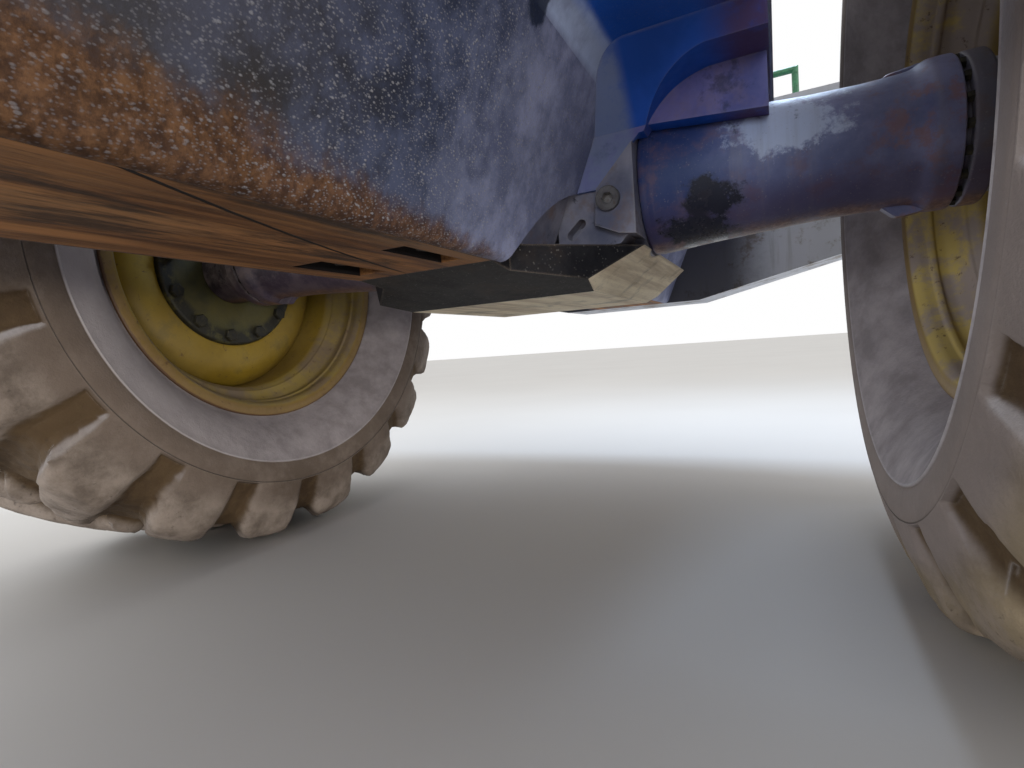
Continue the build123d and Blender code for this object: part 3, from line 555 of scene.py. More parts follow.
def hull_base(n, y, z, grains):
    """The hull's paint: dusty towards the axle, olive and rusty towards the hitch and the belly."""
    coarse, medium, fine = grains
    color = n.mix(n.ramp(medium, 0.36, 0.64), (0.018, 0.023, 0.042), (0.06, 0.07, 0.118))
    far = n.times(n.ramp(n.plus(y, n.times(coarse, 0.5)), 1.4, 1.85), 0.9)
    far = n.times(far, n.ramp(z, 0.14, 0.06))
    dusty = n.mix(n.ramp(medium, 0.36, 0.66), (0.14, 0.155, 0.26), (0.29, 0.31, 0.46))
    color = n.mix(far, color, dusty)
    olive = n.ramp(n.plus(y, n.times(medium, 0.35)), 1.42, 1.05)
    color = n.cover(color, (0.034, 0.026, 0.013), olive, 0.6)
    low = n.plus(z, n.times(n.minus(y, 0.85), 0.1))
    low = n.plus(low, n.times(n.minus(medium, 0.5), 0.1))
    rust = n.ramp(low, -0.205, -0.245)
    rust_color = n.mix(n.ramp(fine, 0.35, 0.7), (0.038, 0.016, 0.006), (0.13, 0.062, 0.026))
    return n.cover(color, rust_color, rust, 0.88), rust


def gravel_flecks(n, color, y, z):
    """Two sizes of pale flecks on the color, fewer near the hitch and above the bend."""
    stretched = n.scaled((1.0, 0.6, 1.0))
    near = n.ramp(y, 0.85, 1.15, 0.45, 1.0)
    flecks = n.ramp(n.cells(200.0, stretched), 0.34, 0.16)
    flecks = n.times(flecks, n.ramp(n.noise(48.0, 4, 0.7), 0.42, 0.6))
    flecks = n.times(n.times(flecks, near), n.ramp(z, 0.06, -0.05, 0.15, 1.0))
    color = n.cover(color, (0.25, 0.245, 0.26), flecks, 0.7)
    tiny = n.times(n.ramp(n.cells(360.0, stretched), 0.36, 0.18), near)
    color = n.cover(color, (0.19, 0.185, 0.2), tiny, n.ramp(z, 0.06, -0.05, 0.1, 0.55))
    return color, flecks


def hull_paint():
    """Blue-grey paint under dust and flecks, brown along the lower edge, with painted shade in blue under
    the overhang and a painted highlight along the bend.
    """
    n = Nodes("hull_paint")
    y, z = n.axis("Y"), n.axis("Z")
    grains = n.noise(2.4, 6, 0.65), n.noise(11.0, 6, 0.7), n.noise(75.0, 6, 0.7)
    coarse, medium, fine = grains
    color, rust = hull_base(n, y, z, grains)
    # Faces turned down under the overhang are painted blue: painted shade, tinted like sky light; on the
    # outer part it is purple-brown.
    shaded = n.times(n.ramp(n.normal_axis("Z"), -0.8, -0.92), n.ramp(z, -0.05, 0.02))
    blue = n.mix(n.ramp(coarse, 0.35, 0.65), (0.001, 0.07, 0.4), (0.004, 0.1, 0.56))
    color = n.cover(color, blue, shaded, 0.92)
    color = n.cover(color, OUTER_BROWN, outer_brown(n, medium), shaded)
    color, flecks = gravel_flecks(n, color, y, z)
    # Painted highlight: a pale blue line along the bend beside the axle.
    color = n.cover(color, (0.42, 0.5, 0.7), bend_highlight(n), 0.75)
    color = n.cover(color, (0.006, 0.01, 0.022), n.stain(HULL_BLOT), 0.85)
    scratch = n.noise(24.0, 3, 0.6, n.scaled((1.0, 0.05, 1.0)))
    scratch = n.times(n.ramp(scratch, 0.64, 0.7), n.ramp(coarse, 0.4, 0.6))
    color = n.cover(color, (0.19, 0.16, 0.15), scratch, 0.35)
    edge = n.times(n.edges(0.007), n.ramp(medium, 0.35, 0.6))
    color = n.cover(color, (0.16, 0.11, 0.085), edge, 0.6)
    roughness = n.plus(n.plus(n.times(medium, 0.35), 0.38), n.times(rust, 0.2))
    height = n.plus(n.times(flecks, 0.4), n.times(fine, 0.5))
    height = n.plus(height, n.times(n.noise(3.2, 2, 0.4), 2.2))
    return n.finish(color, roughness, n.bump(height, 0.5, 0.004), specular=0.15)


def saddle_paint():
    """Saddle over the axle: purple-blue paint with a painted pale highlight by the hull, painted shade in
    blue where it faces down, and dark patches.
    """
    n = Nodes("saddle_paint")
    coarse = n.noise(5.0, 5, 0.6)
    medium = n.noise(16.0, 6, 0.7)
    fine = n.noise(85.0, 5, 0.7)
    color = n.mix(n.ramp(coarse, 0.35, 0.65), (0.065, 0.072, 0.23), (0.18, 0.16, 0.38))
    color = n.cover(color, (0.19, 0.14, 0.19), n.ramp(medium, 0.45, 0.7), 0.5)
    dark = n.ramp(n.noise(9.0, 6, 0.7, offset_source(n)), 0.56, 0.66)
    color = n.cover(color, (0.018, 0.024, 0.055), dark, 0.6)
    # Faces turned down are painted blue: painted shade, tinted like sky light; on the outer part it is
    # purple-brown.
    shaded = n.ramp(n.normal_axis("Z"), -0.25, -0.6)
    blue = n.mix(n.ramp(coarse, 0.35, 0.65), (0.001, 0.06, 0.34), (0.004, 0.09, 0.5))
    color = n.cover(color, blue, shaded, 0.92)
    color = n.cover(color, OUTER_BROWN, outer_brown(n, medium), shaded)
    # Painted highlight: the part next to the hull's bend is painted pale blue.
    rubbed = n.ramp(n.math("ABSOLUTE", n.axis("X")), 0.345, 0.318)
    color = n.cover(color, (0.2, 0.24, 0.36), rubbed, n.ramp(medium, 0.3, 0.55, 0.4, 0.8))
    edge = n.times(n.edges(0.006), n.ramp(medium, 0.3, 0.55))
    color = n.cover(color, (0.2, 0.2, 0.27), edge, 0.45)
    height = n.plus(n.times(fine, 0.4), n.times(medium, 0.5))
    return n.finish(color, n.ramp(medium, 0.3, 0.7, 0.4, 0.65), n.bump(height, 0.4, 0.003), specular=0.2)


def core_metal():
    """Castings beside the hull: brown-grey dust on dark metal, rubbed at the edges, with black grime."""
    n = Nodes("core_metal")
    coarse = n.noise(6.0, 5, 0.6)
    medium = n.noise(19.0, 6, 0.7)
    fine = n.noise(100.0, 5, 0.7)
    color = n.mix(n.ramp(coarse, 0.35, 0.65), (0.095, 0.1, 0.15), (0.25, 0.24, 0.29))
    color = n.cover(color, (0.17, 0.105, 0.075), n.ramp(medium, 0.48, 0.7), 0.55)
    grime = n.ramp(n.noise(11.0, 6, 0.7, offset_source(n)), 0.57, 0.64)
    color = n.cover(color, (0.015, 0.015, 0.02), grime, 0.8)
    edge = n.times(n.edges(0.006), n.ramp(medium, 0.3, 0.55))
    color = n.cover(color, (0.3, 0.27, 0.25), edge, 0.7)
    height = n.plus(n.times(fine, 0.4), n.times(medium, 0.6))
    return n.finish(color, n.ramp(medium, 0.3, 0.7, 0.35, 0.65), n.bump(height, 0.45, 0.003), specular=0.25)


def belly_seam(n):
    """Mask of the dark joint that runs slanting along the belly."""
    along = n.minus(n.axis("Y"), SEAM_START[1])
    curve = n.times(n.times(along, along), SEAM_CURVE)
    line = n.plus(n.times(along, SEAM_SLOPE), curve)
    off = n.minus(n.minus(n.axis("X"), SEAM_START[0]), line)
    off = n.math("ABSOLUTE", n.plus(off, n.times(n.noise(30.0, 3, 0.5), 0.002)))
    return n.times(n.ramp(off, 0.0034, 0.0018), n.ramp(n.axis("Y"), 1.5, 1.4))


def belly_rust():
    """Bare belly plate: brown rust dragged into long streaks, with dark scabs and a dark joint."""
    n = Nodes("belly_rust")
    streaks = n.noise(24.0, 8, 0.72, n.scaled((1.0, 0.06, 1.0)))
    broad = n.noise(5.0, 5, 0.6, n.scaled((1.0, 0.16, 1.0)))
    fine = n.noise(80.0, 6, 0.75)
    color = n.mix(n.ramp(streaks, 0.36, 0.64), (0.068, 0.025, 0.008), (0.34, 0.152, 0.053))
    color = n.cover(color, (0.3, 0.16, 0.07), n.ramp(broad, 0.5, 0.68), 0.5)
    dark = n.ramp(n.noise(9.0, 7, 0.72, n.scaled((1.0, 0.14, 1.0))), 0.53, 0.63)
    color = n.cover(color, (0.02, 0.013, 0.01), dark, 0.85)
    color = n.cover(color, (0.24, 0.16, 0.1), n.ramp(fine, 0.55, 0.8), 0.4)
    edge = n.times(n.edges(0.005), 0.6)
    color = n.mix(edge, color, (0.02, 0.014, 0.012))
    color = n.mix(belly_seam(n), color, (0.004, 0.003, 0.003))
    # Faces turned sideways are darkened nearly black: in the slots this is painted shade, at the plate's
    # side edges a dark joint.
    slot = n.ramp(n.math("ABSOLUTE", n.normal_axis("X")), 0.6, 0.8)
    color = n.mix(slot, color, (0.008, 0.006, 0.006))
    height = n.plus(n.times(streaks, 1.2), n.times(fine, 0.3))
    height = n.minus(height, belly_seam(n))
    return n.finish(color, n.ramp(streaks, 0.3, 0.7, 0.6, 0.85), n.bump(height, 0.6, 0.004), specular=0.2)


def slot_shade():
    """Near-black strap behind the belly slots: painted shade seen through the slots."""
    n = Nodes("slot_shade")
    fine = n.noise(50.0, 6, 0.7)
    color = n.mix(n.ramp(fine, 0.4, 0.7), (0.006, 0.005, 0.005), (0.028, 0.02, 0.016))
    return n.finish(color, n.ramp(fine, 0.3, 0.7, 0.5, 0.8), n.bump(fine, 0.6, 0.004), specular=0.15)


def guard_steel():
    """Guard plate: near-black, and on the front ramp that darkness is painted shade; its flat underside and
    rear rubbed brown and pale by stumps, the pale partly a painted reflection of the floor.
    """
    n = Nodes("guard_steel")
    down = n.ramp(n.normal_axis("Z"), -0.25, -0.75)
    flat = n.times(down, n.ramp(n.normal_axis("Y"), -0.16, -0.04))
    streaks = n.noise(20.0, 6, 0.7, n.scaled((1.0, 0.06, 1.0)))
    medium = n.noise(9.0, 6, 0.68)
    fine = n.noise(85.0, 5, 0.7)
    # Near-black base: on the front ramp it stands in for the shade there.
    color = n.mix(n.ramp(medium, 0.35, 0.7), (0.006, 0.006, 0.008), (0.02, 0.019, 0.021))
    brown = n.times(n.ramp(n.noise(6.0, 6, 0.7, offset_source(n)), 0.5, 0.66), 0.5)
    color = n.mix(brown, color, (0.035, 0.024, 0.018))
    # Pale on the flat underside: rubbed bare by stumps, and in part a painted reflection of the bright
    # floor.
    worn = n.mix(n.ramp(streaks, 0.36, 0.64), (0.56, 0.44, 0.29), (0.9, 0.785, 0.57))
    color = n.cover(color, worn, flat, n.ramp(medium, 0.3, 0.5, 0.5, 1.0))
    edge = n.times(n.edges(0.006), n.ramp(medium, 0.3, 0.55))
    color = n.cover(color, (0.22, 0.17, 0.13), edge, 0.6)
    flecks = speckle(n, 150.0, 0.16, 0.3)
    color = n.cover(color, (0.22, 0.2, 0.18), flecks, 0.4)
    roughness = n.plus(n.times(fine, 0.2), 0.55)
    height = n.plus(n.times(streaks, 0.6), n.times(fine, 0.3))
    height = n.plus(height, n.times(n.noise(4.0, 2, 0.4), 2.0))
    return n.finish(color, roughness, n.bump(height, 0.45, 0.003), specular=0.12)


def tube_base(n, across, coarse, medium):
    """The tube's worn paint: painted shadow of the overhang in dark blue near the hull, dusty on the left,
    reddish bell, grey hub carrier.
    """
    out = n.math("ABSOLUTE", across)
    color = n.mix(n.ramp(coarse, 0.34, 0.66), (0.095, 0.11, 0.225), (0.235, 0.245, 0.42))
    # Painted shadow of the overhang: the tube turns deep blue near the hull.
    overhang_shadow = n.ramp(n.plus(out, n.times(medium, 0.06)), 0.6, 0.44)
    color = n.cover(color, (0.004, 0.024, 0.115), overhang_shadow, 0.85)
    color = n.cover(color, (0.145, 0.085, 0.11), n.ramp(medium, 0.46, 0.68), 0.6)
    bell = n.times(n.ramp(out, 0.68, 0.76), n.ramp(medium, 0.5, 0.6))
    color = n.cover(color, (0.3, 0.165, 0.165), bell, 0.5)
    color = n.cover(color, (0.105, 0.098, 0.104), n.ramp(out, 0.826, 0.836), 0.8)
    dusty = n.mix(n.ramp(medium, 0.38, 0.62), (0.11, 0.085, 0.082), (0.32, 0.262, 0.255))
    return n.cover(color, dusty, n.ramp(across, -0.3, -0.45), 0.8)


def axle_paint():
    """Axle tube: worn paint, painted light in pale patches on top, painted shade and rust below, with wet
    oil stains.
    """
    n = Nodes("axle_paint")
    coarse, medium, fine = n.noise(4.2, 6, 0.65), n.noise(17.0, 6, 0.7), n.noise(95.0, 6, 0.72)
    color = tube_base(n, n.axis("X"), coarse, medium)
    # Painted light: pale blue patches on the tube's top.
    color = n.cover(color, (0.44, 0.5, 0.66), n.stain(TUBE_LIT_PATCHES, 1.2), 0.75)
    turned = n.noise(42.0, 3, 0.6, n.scaled((1.0, 0.08, 0.08)))
    color = n.cover(color, (0.22, 0.2, 0.24), n.ramp(turned, 0.5, 0.75), 0.3)
    # Painted shade: faces turning down are darkened purple.
    color = n.cover(color, (0.055, 0.032, 0.075), n.ramp(n.normal_axis("Z"), -0.3, -0.75), 0.6)
    below = n.ramp(n.normal_axis("Z"), -0.88, -0.99)
    rust = n.mix(n.ramp(fine, 0.35, 0.7), (0.11, 0.05, 0.03), (0.3, 0.17, 0.11))
    color = n.cover(color, rust, below, n.ramp(medium, 0.3, 0.55, 0.2, 0.8))
    oil = n.times(n.ramp(n.noise(6.5, 6, 0.7, offset_source(n)), 0.6, 0.64), 0.6)
    oil = n.math("MAXIMUM", oil, n.times(n.stain(TUBE_OIL, 1.3), 0.92))
    color = n.mix(oil, color, (0.008, 0.009, 0.016))
    color = n.cover(color, (0.24, 0.22, 0.24), speckle(n, 170.0, 0.16, 0.3), 0.4)
    edge = n.times(n.edges(0.005), n.ramp(fine, 0.35, 0.6))
    color = n.cover(color, (0.3, 0.26, 0.26), edge, 0.6)
    roughness = n.minus(n.plus(n.times(medium, 0.3), 0.34), n.times(oil, 0.25))
    height = n.plus(n.times(fine, 0.35), n.times(medium, 0.5))
    return n.finish(color, roughness, n.bump(height, 0.4, 0.003), specular=0.3)


def bare_steel():
    """Machined steel with a brown film."""
    n = Nodes("bare_steel")
    medium = n.noise(14.0, 6, 0.7)
    fine = n.noise(110.0, 5, 0.7)
    color = n.mix(n.ramp(medium, 0.35, 0.65), (0.14, 0.13, 0.125), (0.3, 0.28, 0.265))
    color = n.cover(color, (0.14, 0.07, 0.04), n.ramp(fine, 0.55, 0.7), 0.6)
    color = n.cover(color, (0.01, 0.01, 0.014), n.edges(0.004), 0.9)
    return n.finish(color, n.ramp(medium, 0.3, 0.7, 0.3, 0.55), n.bump(fine, 0.3, 0.001), metallic=0.75)


def mount_rubber():
    """Black mount rubber, dusty on top."""
    n = Nodes("mount_rubber_black")
    fine = n.noise(70.0, 5, 0.7)
    dust = n.times(n.ramp(n.normal_axis("Z"), 0.5, 1.0), n.ramp(fine, 0.35, 0.7))
    color = n.mix(dust, (0.022, 0.022, 0.022), (0.11, 0.095, 0.08))
    return n.finish(color, n.ramp(fine, 0.2, 0.8, 0.7, 0.9), n.bump(fine, 0.4, 0.001), specular=0.3)


def tail_grey():
    """Light grey paint with mud splashes, dust streaks, chipped edges and painted shadow on its forward
    faces near the middle.
    """
    n = Nodes("tail_grey")
    coarse = n.noise(1.8, 5, 0.6)
    splash = n.noise(8.0, 7, 0.72)
    fine = n.noise(80.0, 5, 0.7)
    color = n.mix(n.ramp(coarse, 0.3, 0.7), (0.38, 0.395, 0.44), (0.49, 0.505, 0.56))
    mud = n.times(n.ramp(splash, 0.52, 0.64), n.ramp(n.axis("Z"), 0.35, -0.25, 0.15, 0.9))
    color = n.mix(mud, color, (0.17, 0.125, 0.08))
    drips = n.noise(30.0, 4, 0.6, n.scaled((1.0, 1.0, 0.06)))
    color = n.cover(color, (0.16, 0.14, 0.12), n.ramp(drips, 0.55, 0.7), 0.3)
    # Painted shadow: faces turned forward darken near the middle, where the machine shades them.
    inner = n.plus(n.math("ABSOLUTE", n.axis("X")), n.times(splash, 0.16))
    painted_shadow = n.times(n.ramp(inner, 0.66, 0.46), n.ramp(n.normal_axis("Y"), -0.1, -0.5))
    color = n.cover(color, (0.03, 0.028, 0.038), painted_shadow, 0.85)
    edge = n.times(n.edges(0.006), n.ramp(fine, 0.4, 0.6))
    color = n.cover(color, (0.1, 0.055, 0.035), edge, 0.8)
    height = n.plus(n.times(fine, 0.2), n.times(mud, 0.5))
    height = n.plus(height, n.times(n.noise(2.2, 1, 0.4), 2.0))
    return n.finish(color, n.ramp(splash, 0.3, 0.7, 0.35, 0.6), n.bump(height, 0.35, 0.002))


def rail_green():
    """Green gloss paint, rubbed through at the bends."""
    n = Nodes("rail_green")
    fine = n.noise(60.0, 5, 0.7)
    color = n.mix(n.ramp(fine, 0.3, 0.7), (0.02, 0.11, 0.045), (0.045, 0.21, 0.09))
    chips = n.ramp(n.noise(34.0, 6, 0.75), 0.62, 0.66)
    color = n.cover(color, (0.12, 0.1, 0.09), chips, 0.8)
    return n.finish(color, n.ramp(fine, 0.3, 0.7, 0.25, 0.5), n.bump(chips, -0.3, 0.001))


# Wheels

# Rim: offset from the wheel's centre plane, negative towards the machine, and radius
RIM_OUTLINE = [
    (-0.25, 0.4625), (-0.2405, 0.4625), (-0.236, 0.456), (-0.236, 0.4325), (-0.17, 0.432), (-0.158, 0.424),
    (-0.128, 0.39), (-0.112, 0.381), (0.112, 0.381), (0.128, 0.39), (0.158, 0.424), (0.17, 0.432),
    (0.236, 0.4325), (0.236, 0.456), (0.2405, 0.4625), (0.25, 0.4625), (0.252, 0.448), (0.247, 0.43),
    (0.232, 0.42), (0.176, 0.419), (0.166, 0.412), (0.134, 0.377), (0.118, 0.369), (0.045, 0.369),
    (-0.118, 0.369), (-0.134, 0.377), (-0.142, 0.383), (-0.147, 0.383), (-0.153, 0.396), (-0.16, 0.405),
    (-0.176, 0.419), (-0.196, 0.4195), (-0.199, 0.414), (-0.209, 0.414), (-0.212, 0.4195), (-0.232, 0.42),
    (-0.247, 0.43), (-0.252, 0.448),
]
# Disc: a fat ring that bulges towards the machine between its edge and the hub hole
DISC_OUTLINE = [
    (-0.012, 0.369), (-0.034, 0.356), (-0.058, 0.338), (-0.076, 0.317), (-0.084, 0.293),
    (-0.085, 0.27), (-0.083, 0.25), (-0.081, 0.234), (-0.063, 0.233), (-0.063, 0.29),
    (-0.052, 0.32), (-0.03, 0.344), (0.004, 0.369),
]
HUB_OUTLINE = [
    (-0.094, 0.1003), (-0.094, 0.15), (-0.094, 0.227), (-0.089, 0.2325), (-0.0632, 0.2327),
    (-0.0632, 0.282), (-0.059, 0.286), (-0.041, 0.286), (-0.037, 0.282), (-0.037, 0.03), (-0.058, 0.03),
    (-0.058, 0.1003),
]
COVER_OUTLINE = [
    (-0.037, 0.005), (-0.037, 0.196), (-0.025, 0.196), (-0.019, 0.188), (0.074, 0.188), (0.082, 0.182),
    (0.106, 0.145), (0.113, 0.136), (0.113, 0.06), (0.109, 0.056), (0.109, 0.005),
]


# Turned pieces of a wheel: name, CAD node, slot, outline, radius of its corners, segments
WHEEL_PIECES = [
    ("rim_shell", "rim", "rim_paint", RIM_OUTLINE, 0.006, 160),
    ("rim_disc", "rim", "rim_paint", DISC_OUTLINE, 0.01, 128),
    ("hub_body", "hub", "hub_paint", HUB_OUTLINE, 0.004, 128),
    ("hub_cap", "hub_cover", "hub_paint", COVER_OUTLINE, 0.004, 96),
]
# Bolt circles of a wheel: name, CAD node, offset, circle radius, 1 facing out or -1 in, turn in pitches
WHEEL_BOLTS = [
    ("hub_bolt_heads", "hub_bolts", -0.094, 0.206, -1, 0.3),
    ("wheel_nut_heads", "wheel_nuts", -0.037, 0.24, 1, 0.0),
]
WHEEL_BOLT_COUNT = 12
WHEEL_BOLT_FLATS = 0.036
WHEEL_BOLT_HEIGHT = 0.016


def hexagon_rings(base, axis_dir, radii_heights):
    """Hexagons of points about a line from base along axis_dir: for each (radius, height)."""
    direction = Vector(axis_dir).normalized()
    side = direction.orthogonal().normalized()
    up = direction.cross(side)
    rings = []
    for radius, height in radii_heights:
        ring = []
        for i in range(6):
            angle = 2 * math.pi * (i + 0.5) / 6
            ring.append(Vector(base) + direction * height + side * (radius * math.cos(angle))
                        + up * (radius * math.sin(angle)))
        rings.append(ring)
    return rings


def add_rings(points, faces, rings):
    """Join rings of equal count into a skin on the lists, capped at both ends."""
    start = len(points)
    count = len(rings[0])
    for ring in rings:
        points.extend(ring)
    for i in range(len(rings) - 1):
        for j in range(count):
            k = (j + 1) % count
            a, b = start + i * count, start + (i + 1) * count
            faces.append((a + j, a + k, b + k, b + j))
    faces.append(tuple(range(start + (len(rings) - 1) * count, start + len(rings) * count)))
    faces.append(tuple(reversed(range(start, start + count))))


def add_bolt(points, faces, base, axis_dir, flats, height):
    """A hexagon head with a chamfered top."""
    corner = flats / math.sqrt(3)
    profile = [(corner, 0.0), (corner, height * 0.82), (corner * 0.86, height)]
    add_rings(points, faces, hexagon_rings(base, axis_dir, profile))


def bolt_circle(name, center_x, radius, count, flats, height, direction, material, turn=0.0):
    """Bolt heads round the axle line at station center_x."""
    points, faces = [], []
    for i in range(count):
        angle = 2 * math.pi * (i + turn) / count
        base = (center_x, AXLE_Y + radius * math.sin(angle), AXLE_Z + radius * math.cos(angle))
        add_bolt(points, faces, base, (direction, 0, 0), flats, height)
    return mesh_object(name, points, faces, material, 30)


def make_wheel(side_name, side, paints, black):
    """Rim, hub and bolts of one wheel, with the paints by slot."""
    body = f"wheel_{side_name}"
    for name, node, slot, outline, corner, segments in WHEEL_PIECES:
        outline = rounded(outline, corner, 2)
        piece = lathe(f"{name}_{side_name}", outline, side, paints[slot], segments, WHEEL_X)
        place(piece, body, f"{node}_{side_name}")
    for name, node, offset, radius, facing, turn in WHEEL_BOLTS:
        bolts = bolt_circle(f"{name}_{side_name}", side * (WHEEL_X + offset), radius, WHEEL_BOLT_COUNT,
                            WHEEL_BOLT_FLATS, WHEEL_BOLT_HEIGHT, side * facing, black, turn)
        place(bolts, body, f"{node}_{side_name}")


# Axle tubes

# Tube: station from the machine's centre and radius
TUBE_OUTLINE = [
    (0.3305, 0.005), (0.3305, 0.133), (0.36, 0.1325), (0.44, 0.1245), (0.53, 0.118), (0.62, 0.1115),
    (0.7, 0.109), (0.762, 0.1105), (0.776, 0.113), (0.787, 0.12), (0.796, 0.1235), (0.815, 0.124),
    (0.826, 0.1235), (0.828, 0.1215), (0.828, 0.005),
]
CARRIER_OUTLINE = [
    (0.828, 0.005), (0.828, 0.104), (0.838, 0.104), (0.838, 0.1195), (0.841, 0.122), (0.867, 0.122),
    (0.87, 0.119), (0.87, 0.1), (0.884, 0.1), (0.886, 0.1035), (0.915, 0.1035), (0.919, 0.1),
    (1.0255, 0.1), (1.0255, 0.005),
]
# Ear on the bell's top and pointed rib under it: station and distance from the axle line
EAR_SIDE = [
    (0.734, 0.104), (0.737, 0.111), (0.746, 0.1155), (0.77, 0.118), (0.794, 0.1225), (0.794, 0.104),
]
RIB_SIDE = [
    (0.728, 0.106), (0.74, 0.1165), (0.752, 0.1275), (0.766, 0.1275), (0.794, 0.1225), (0.794, 0.106),
]
EAR_HALF = 0.024
RIB_HALF = 0.013
# Bolts in the groove between tube and carrier: station, circle radius, count, flats, height
GROOVE_BOLTS = (0.838, 0.112, 18, 0.015, 0.0085)


def add_slab(points, faces, outline, half, side, up):
    """A slab with softened edges from its outline of (x, distance from the axle line), up or down."""
    shrink = [(0.7, half), (1.0, half * 0.78), (1.0, -half * 0.78), (0.7, -half)]
    middle = sum(x for x, d in outline) / len(outline)
    base = min(d for x, d in outline)
    rings = []
    for share, y in shrink:
        ring = [Vector((side * (middle + (x - middle) * (1 - (1 - share) * 0.3)), AXLE_Y + y,
                        AXLE_Z + up * (base + (d - base) * share))) for x, d in outline]
        rings.append(ring if side * up == 1 else ring[::-1])
    add_rings(points, faces, rings)


def make_axle_ends(side_name, side, paint, black):
    """Axle tube with its flared end, and the hub carrier with the bolts in the groove."""
    tube = lathe(f"tube_skin_{side_name}", rounded(TUBE_OUTLINE, 0.009, 3), side, paint, 128)
    place(tube, "frame", f"axle_tube_{side_name}")
    points, faces = [], []
    add_slab(points, faces, rounded(EAR_SIDE, 0.006, 2), EAR_HALF, side, 1)
    add_slab(points, faces, rounded(RIB_SIDE, 0.006, 2), RIB_HALF, side, -1)
    lugs = mesh_object(f"tube_lugs_{side_name}", points, faces, paint, 40)
    place(lugs, "frame", f"axle_tube_{side_name}")
    carrier = lathe(f"carrier_skin_{side_name}", rounded(CARRIER_OUTLINE, 0.003, 2), side, paint, 128)
    place(carrier, "frame", f"hub_carrier_{side_name}")
    station, *sizes = GROOVE_BOLTS
    bolts = bolt_circle(f"carrier_bolts_{side_name}", side * station, *sizes, -side, black)
    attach(bolts, "frame")


# Carried-over CAD nodes and their materials

def dress(names, material):
    """Give CAD nodes a material of the scene."""
    for name in names:
        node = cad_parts[name]
        node.data.materials.clear()
        node.data.materials.append(material)


def dress_frame(paint):
    sides = ["left", "right"]
    dress([f"hull_{s}" for s in sides] + ["front_bulkhead"], paint)
    dress([f"crossmember_{s}" for s in ("front", "middle", "rear")], paint)
    dress([f"axle_saddle_{s}" for s in sides], saddle_paint())
    dress([f"cradle_plate_{s}" for s in sides] + ["axle_housing"], core_metal())
    dress(["belly_plate_front", "belly_plate_rear"], belly_rust())
    dress(["belly_strap"], slot_shade())
    dress(["axle_guard"], guard_steel())
    dress(["hitch_ring", "level_plug", "input_flange"], bare_steel())
    dress(["engine_mounts_front", "engine_mounts_rear"], mount_rubber())
    dress(["tail_box"], tail_grey())
    dress(["tail_rail"], rail_green())


# Camera, floor and light

CAMERA_PLACE = Vector((0.5617, 0.6622, -0.4429))
CAMERA_YAW = 0.4613
CAMERA_PITCH = -0.0608
CAMERA_ROLL = -0.0706
LENS = 19.07
FLOOR_REACH = 60.0
AMBIENT = 1.0
# Lamps: name, place, target, width and height, watts, color
LOW_LAMPS = [
    ("key", (4.6, -2.0, -0.5), (-0.8, 1.3, -0.4), (2.4, 0.7), 205.0, (1.0, 0.97, 0.93)),
    ("low", (-4.6, -2.6, -0.5), (0.8, 1.9, -0.3), (2.4, 0.7), 140.0, (0.88, 0.93, 1.0)),
    ("front", (1.7, -2.4, 1.0), (0.5, 1.6, -0.1), (1.6, 1.6), 75.0, (0.8, 0.9, 1.0)),
]
HIGH_LAMPS = [
    ("gap", (0.95, 4.3, 2.6), (0.6, 1.85, -0.1), (1.2, 1.2), 90.0, (0.6, 0.76, 1.0)),
    ("fill", (-5.5, 2.5, 1.4), (-0.3, 1.8, -0.4), (3.0, 3.0), 80.0, (0.9, 0.95, 1.0)),
    ("side", (5.5, 1.5, 1.6), (0.3, 1.8, -0.3), (3.0, 3.0), 60.0, (1.0, 1.0, 1.0)),
]


def make_camera():
    """The photograph's view, from under the machine's side."""
    forward = Vector((-math.sin(CAMERA_YAW) * math.cos(CAMERA_PITCH),
                      math.cos(CAMERA_YAW) * math.cos(CAMERA_PITCH), math.sin(CAMERA_PITCH)))
    level = Vector((math.cos(CAMERA_YAW), math.sin(CAMERA_YAW), 0.0))
    upright = level.cross(forward)
    right = level * math.cos(CAMERA_ROLL) + upright * math.sin(CAMERA_ROLL)
    up = upright * math.cos(CAMERA_ROLL) - level * math.sin(CAMERA_ROLL)
    data = bpy.data.cameras.new("camera")
    data.lens = LENS
    data.sensor_width = 36.0
    data.clip_start = 0.01
    data.clip_end = 200.0
    camera = bpy.data.objects.new("camera", data)
    basis = Matrix((right, up, -forward)).transposed()
    camera.matrix_world = Matrix.Translation(CAMERA_PLACE) @ basis.to_4x4()
    bpy.context.scene.collection.objects.link(camera)
    bpy.context.scene.camera = camera


def make_floor():
    """A plain pale floor that reaches past the horizon."""
    n = Nodes("floor_pale")
    tone = n.mix(n.noise(0.8, 3, 0.5), (0.6, 0.585, 0.565), (0.66, 0.645, 0.625))
    material = n.finish(tone, 0.8, n.bump(n.noise(60.0, 3, 0.5), 0.05, 0.002), specular=0.2)
    reach = FLOOR_REACH
    corners = [(-reach, -reach), (reach, -reach), (reach, reach), (-reach, reach)]
    floor = mesh_object("floor", [(x, y, FLOOR_Z) for x, y in corners], [(0, 1, 2, 3)], material)
    return floor


def spare(light, receivers):
    """Keep a low lamp's light off the objects in a collection, so that it leaves no pool there."""
    light.light_linking.receiver_collection = receivers
    for entry in receivers.collection_objects:
        entry.light_linking.link_state = "EXCLUDE"


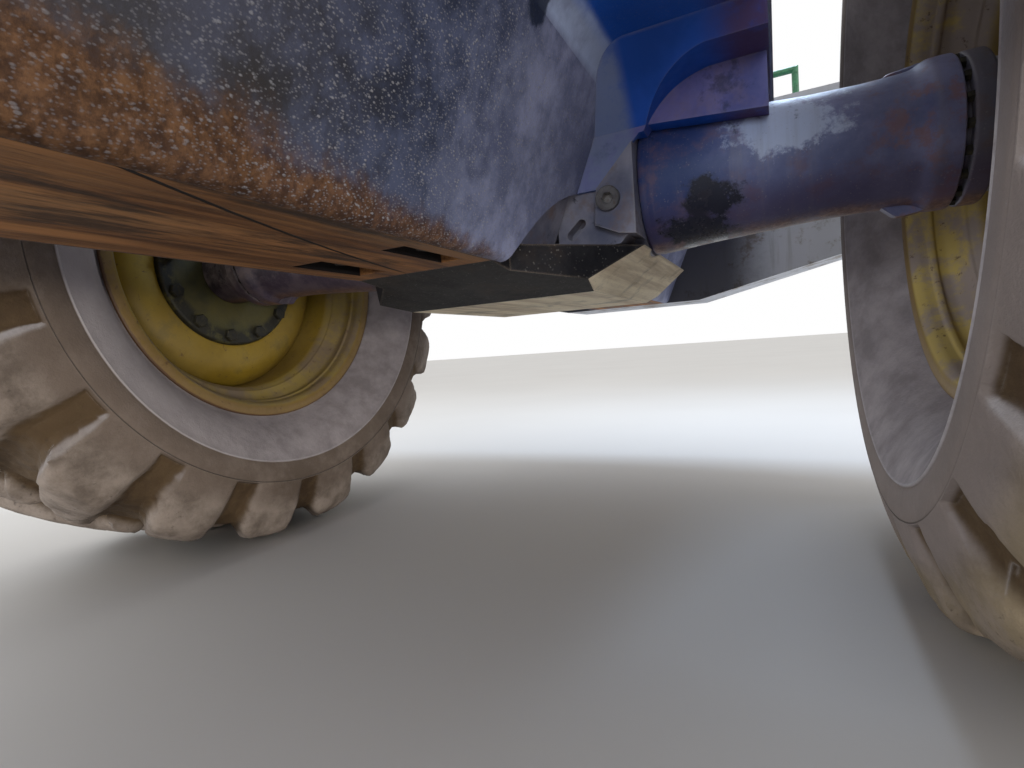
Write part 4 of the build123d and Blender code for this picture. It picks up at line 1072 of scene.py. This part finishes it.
def area_light(name, where, target, size, power, color):
    data = bpy.data.lights.new(name, "AREA")
    data.shape = "RECTANGLE"
    data.size, data.size_y = size
    data.energy = power
    data.color = color
    light = bpy.data.objects.new(name, data)
    light.visible_camera = False
    light.location = where
    light.rotation_euler = (Vector(target) - Vector(where)).to_track_quat("-Z", "Y").to_euler()
    bpy.context.scene.collection.objects.link(light)
    return light


def make_world():
    """White background for the camera, glossy and transmission rays; soft grey light otherwise."""
    world = bpy.data.worlds.new("studio")
    world.use_nodes = True
    bpy.context.scene.world = world
    tree = world.node_tree
    background = tree.nodes["Background"]
    path = tree.nodes.new("ShaderNodeLightPath")
    seen = tree.nodes.new("ShaderNodeMath")
    seen.operation = "MAXIMUM"
    tree.links.new(path.outputs["Is Camera Ray"], seen.inputs[0])
    either = tree.nodes.new("ShaderNodeMath")
    either.operation = "MAXIMUM"
    tree.links.new(path.outputs["Is Glossy Ray"], either.inputs[0])
    tree.links.new(path.outputs["Is Transmission Ray"], either.inputs[1])
    tree.links.new(either.outputs[0], seen.inputs[1])
    strength = tree.nodes.new("ShaderNodeMapRange")
    strength.inputs["To Min"].default_value = AMBIENT
    strength.inputs["To Max"].default_value = 1.0
    tree.links.new(seen.outputs[0], strength.inputs["Value"])
    tree.links.new(strength.outputs["Result"], background.inputs["Strength"])
    background.inputs["Color"].default_value = (1.0, 1.0, 1.0, 1.0)


def make_lights(floor):
    """Low lamps that reach under the hull but spare the floor, and softer light from above."""
    make_world()
    unlit = bpy.data.collections.new("kept_from_low_lamps")
    unlit.objects.link(floor)
    for light in [area_light(*lamp) for lamp in LOW_LAMPS]:
        spare(light, unlit)
    for lamp in HIGH_LAMPS:
        area_light(*lamp)


def build_scene():
    bpy.context.scene.view_settings.view_transform = "Standard"
    make_camera()
    make_lights(make_floor())
    rubber = tyre_rubber()
    paints = {"rim_paint": rim_yellow(), "hub_paint": hub_olive()}
    black, axle = greasy_bolts(), axle_paint()
    for side_name, side in (("left", -1), ("right", 1)):
        make_tyre(side_name, side, rubber)
        make_wheel(side_name, side, paints, black)
        make_axle_ends(side_name, side, axle, black)
    dress_frame(hull_paint())


build_scene()
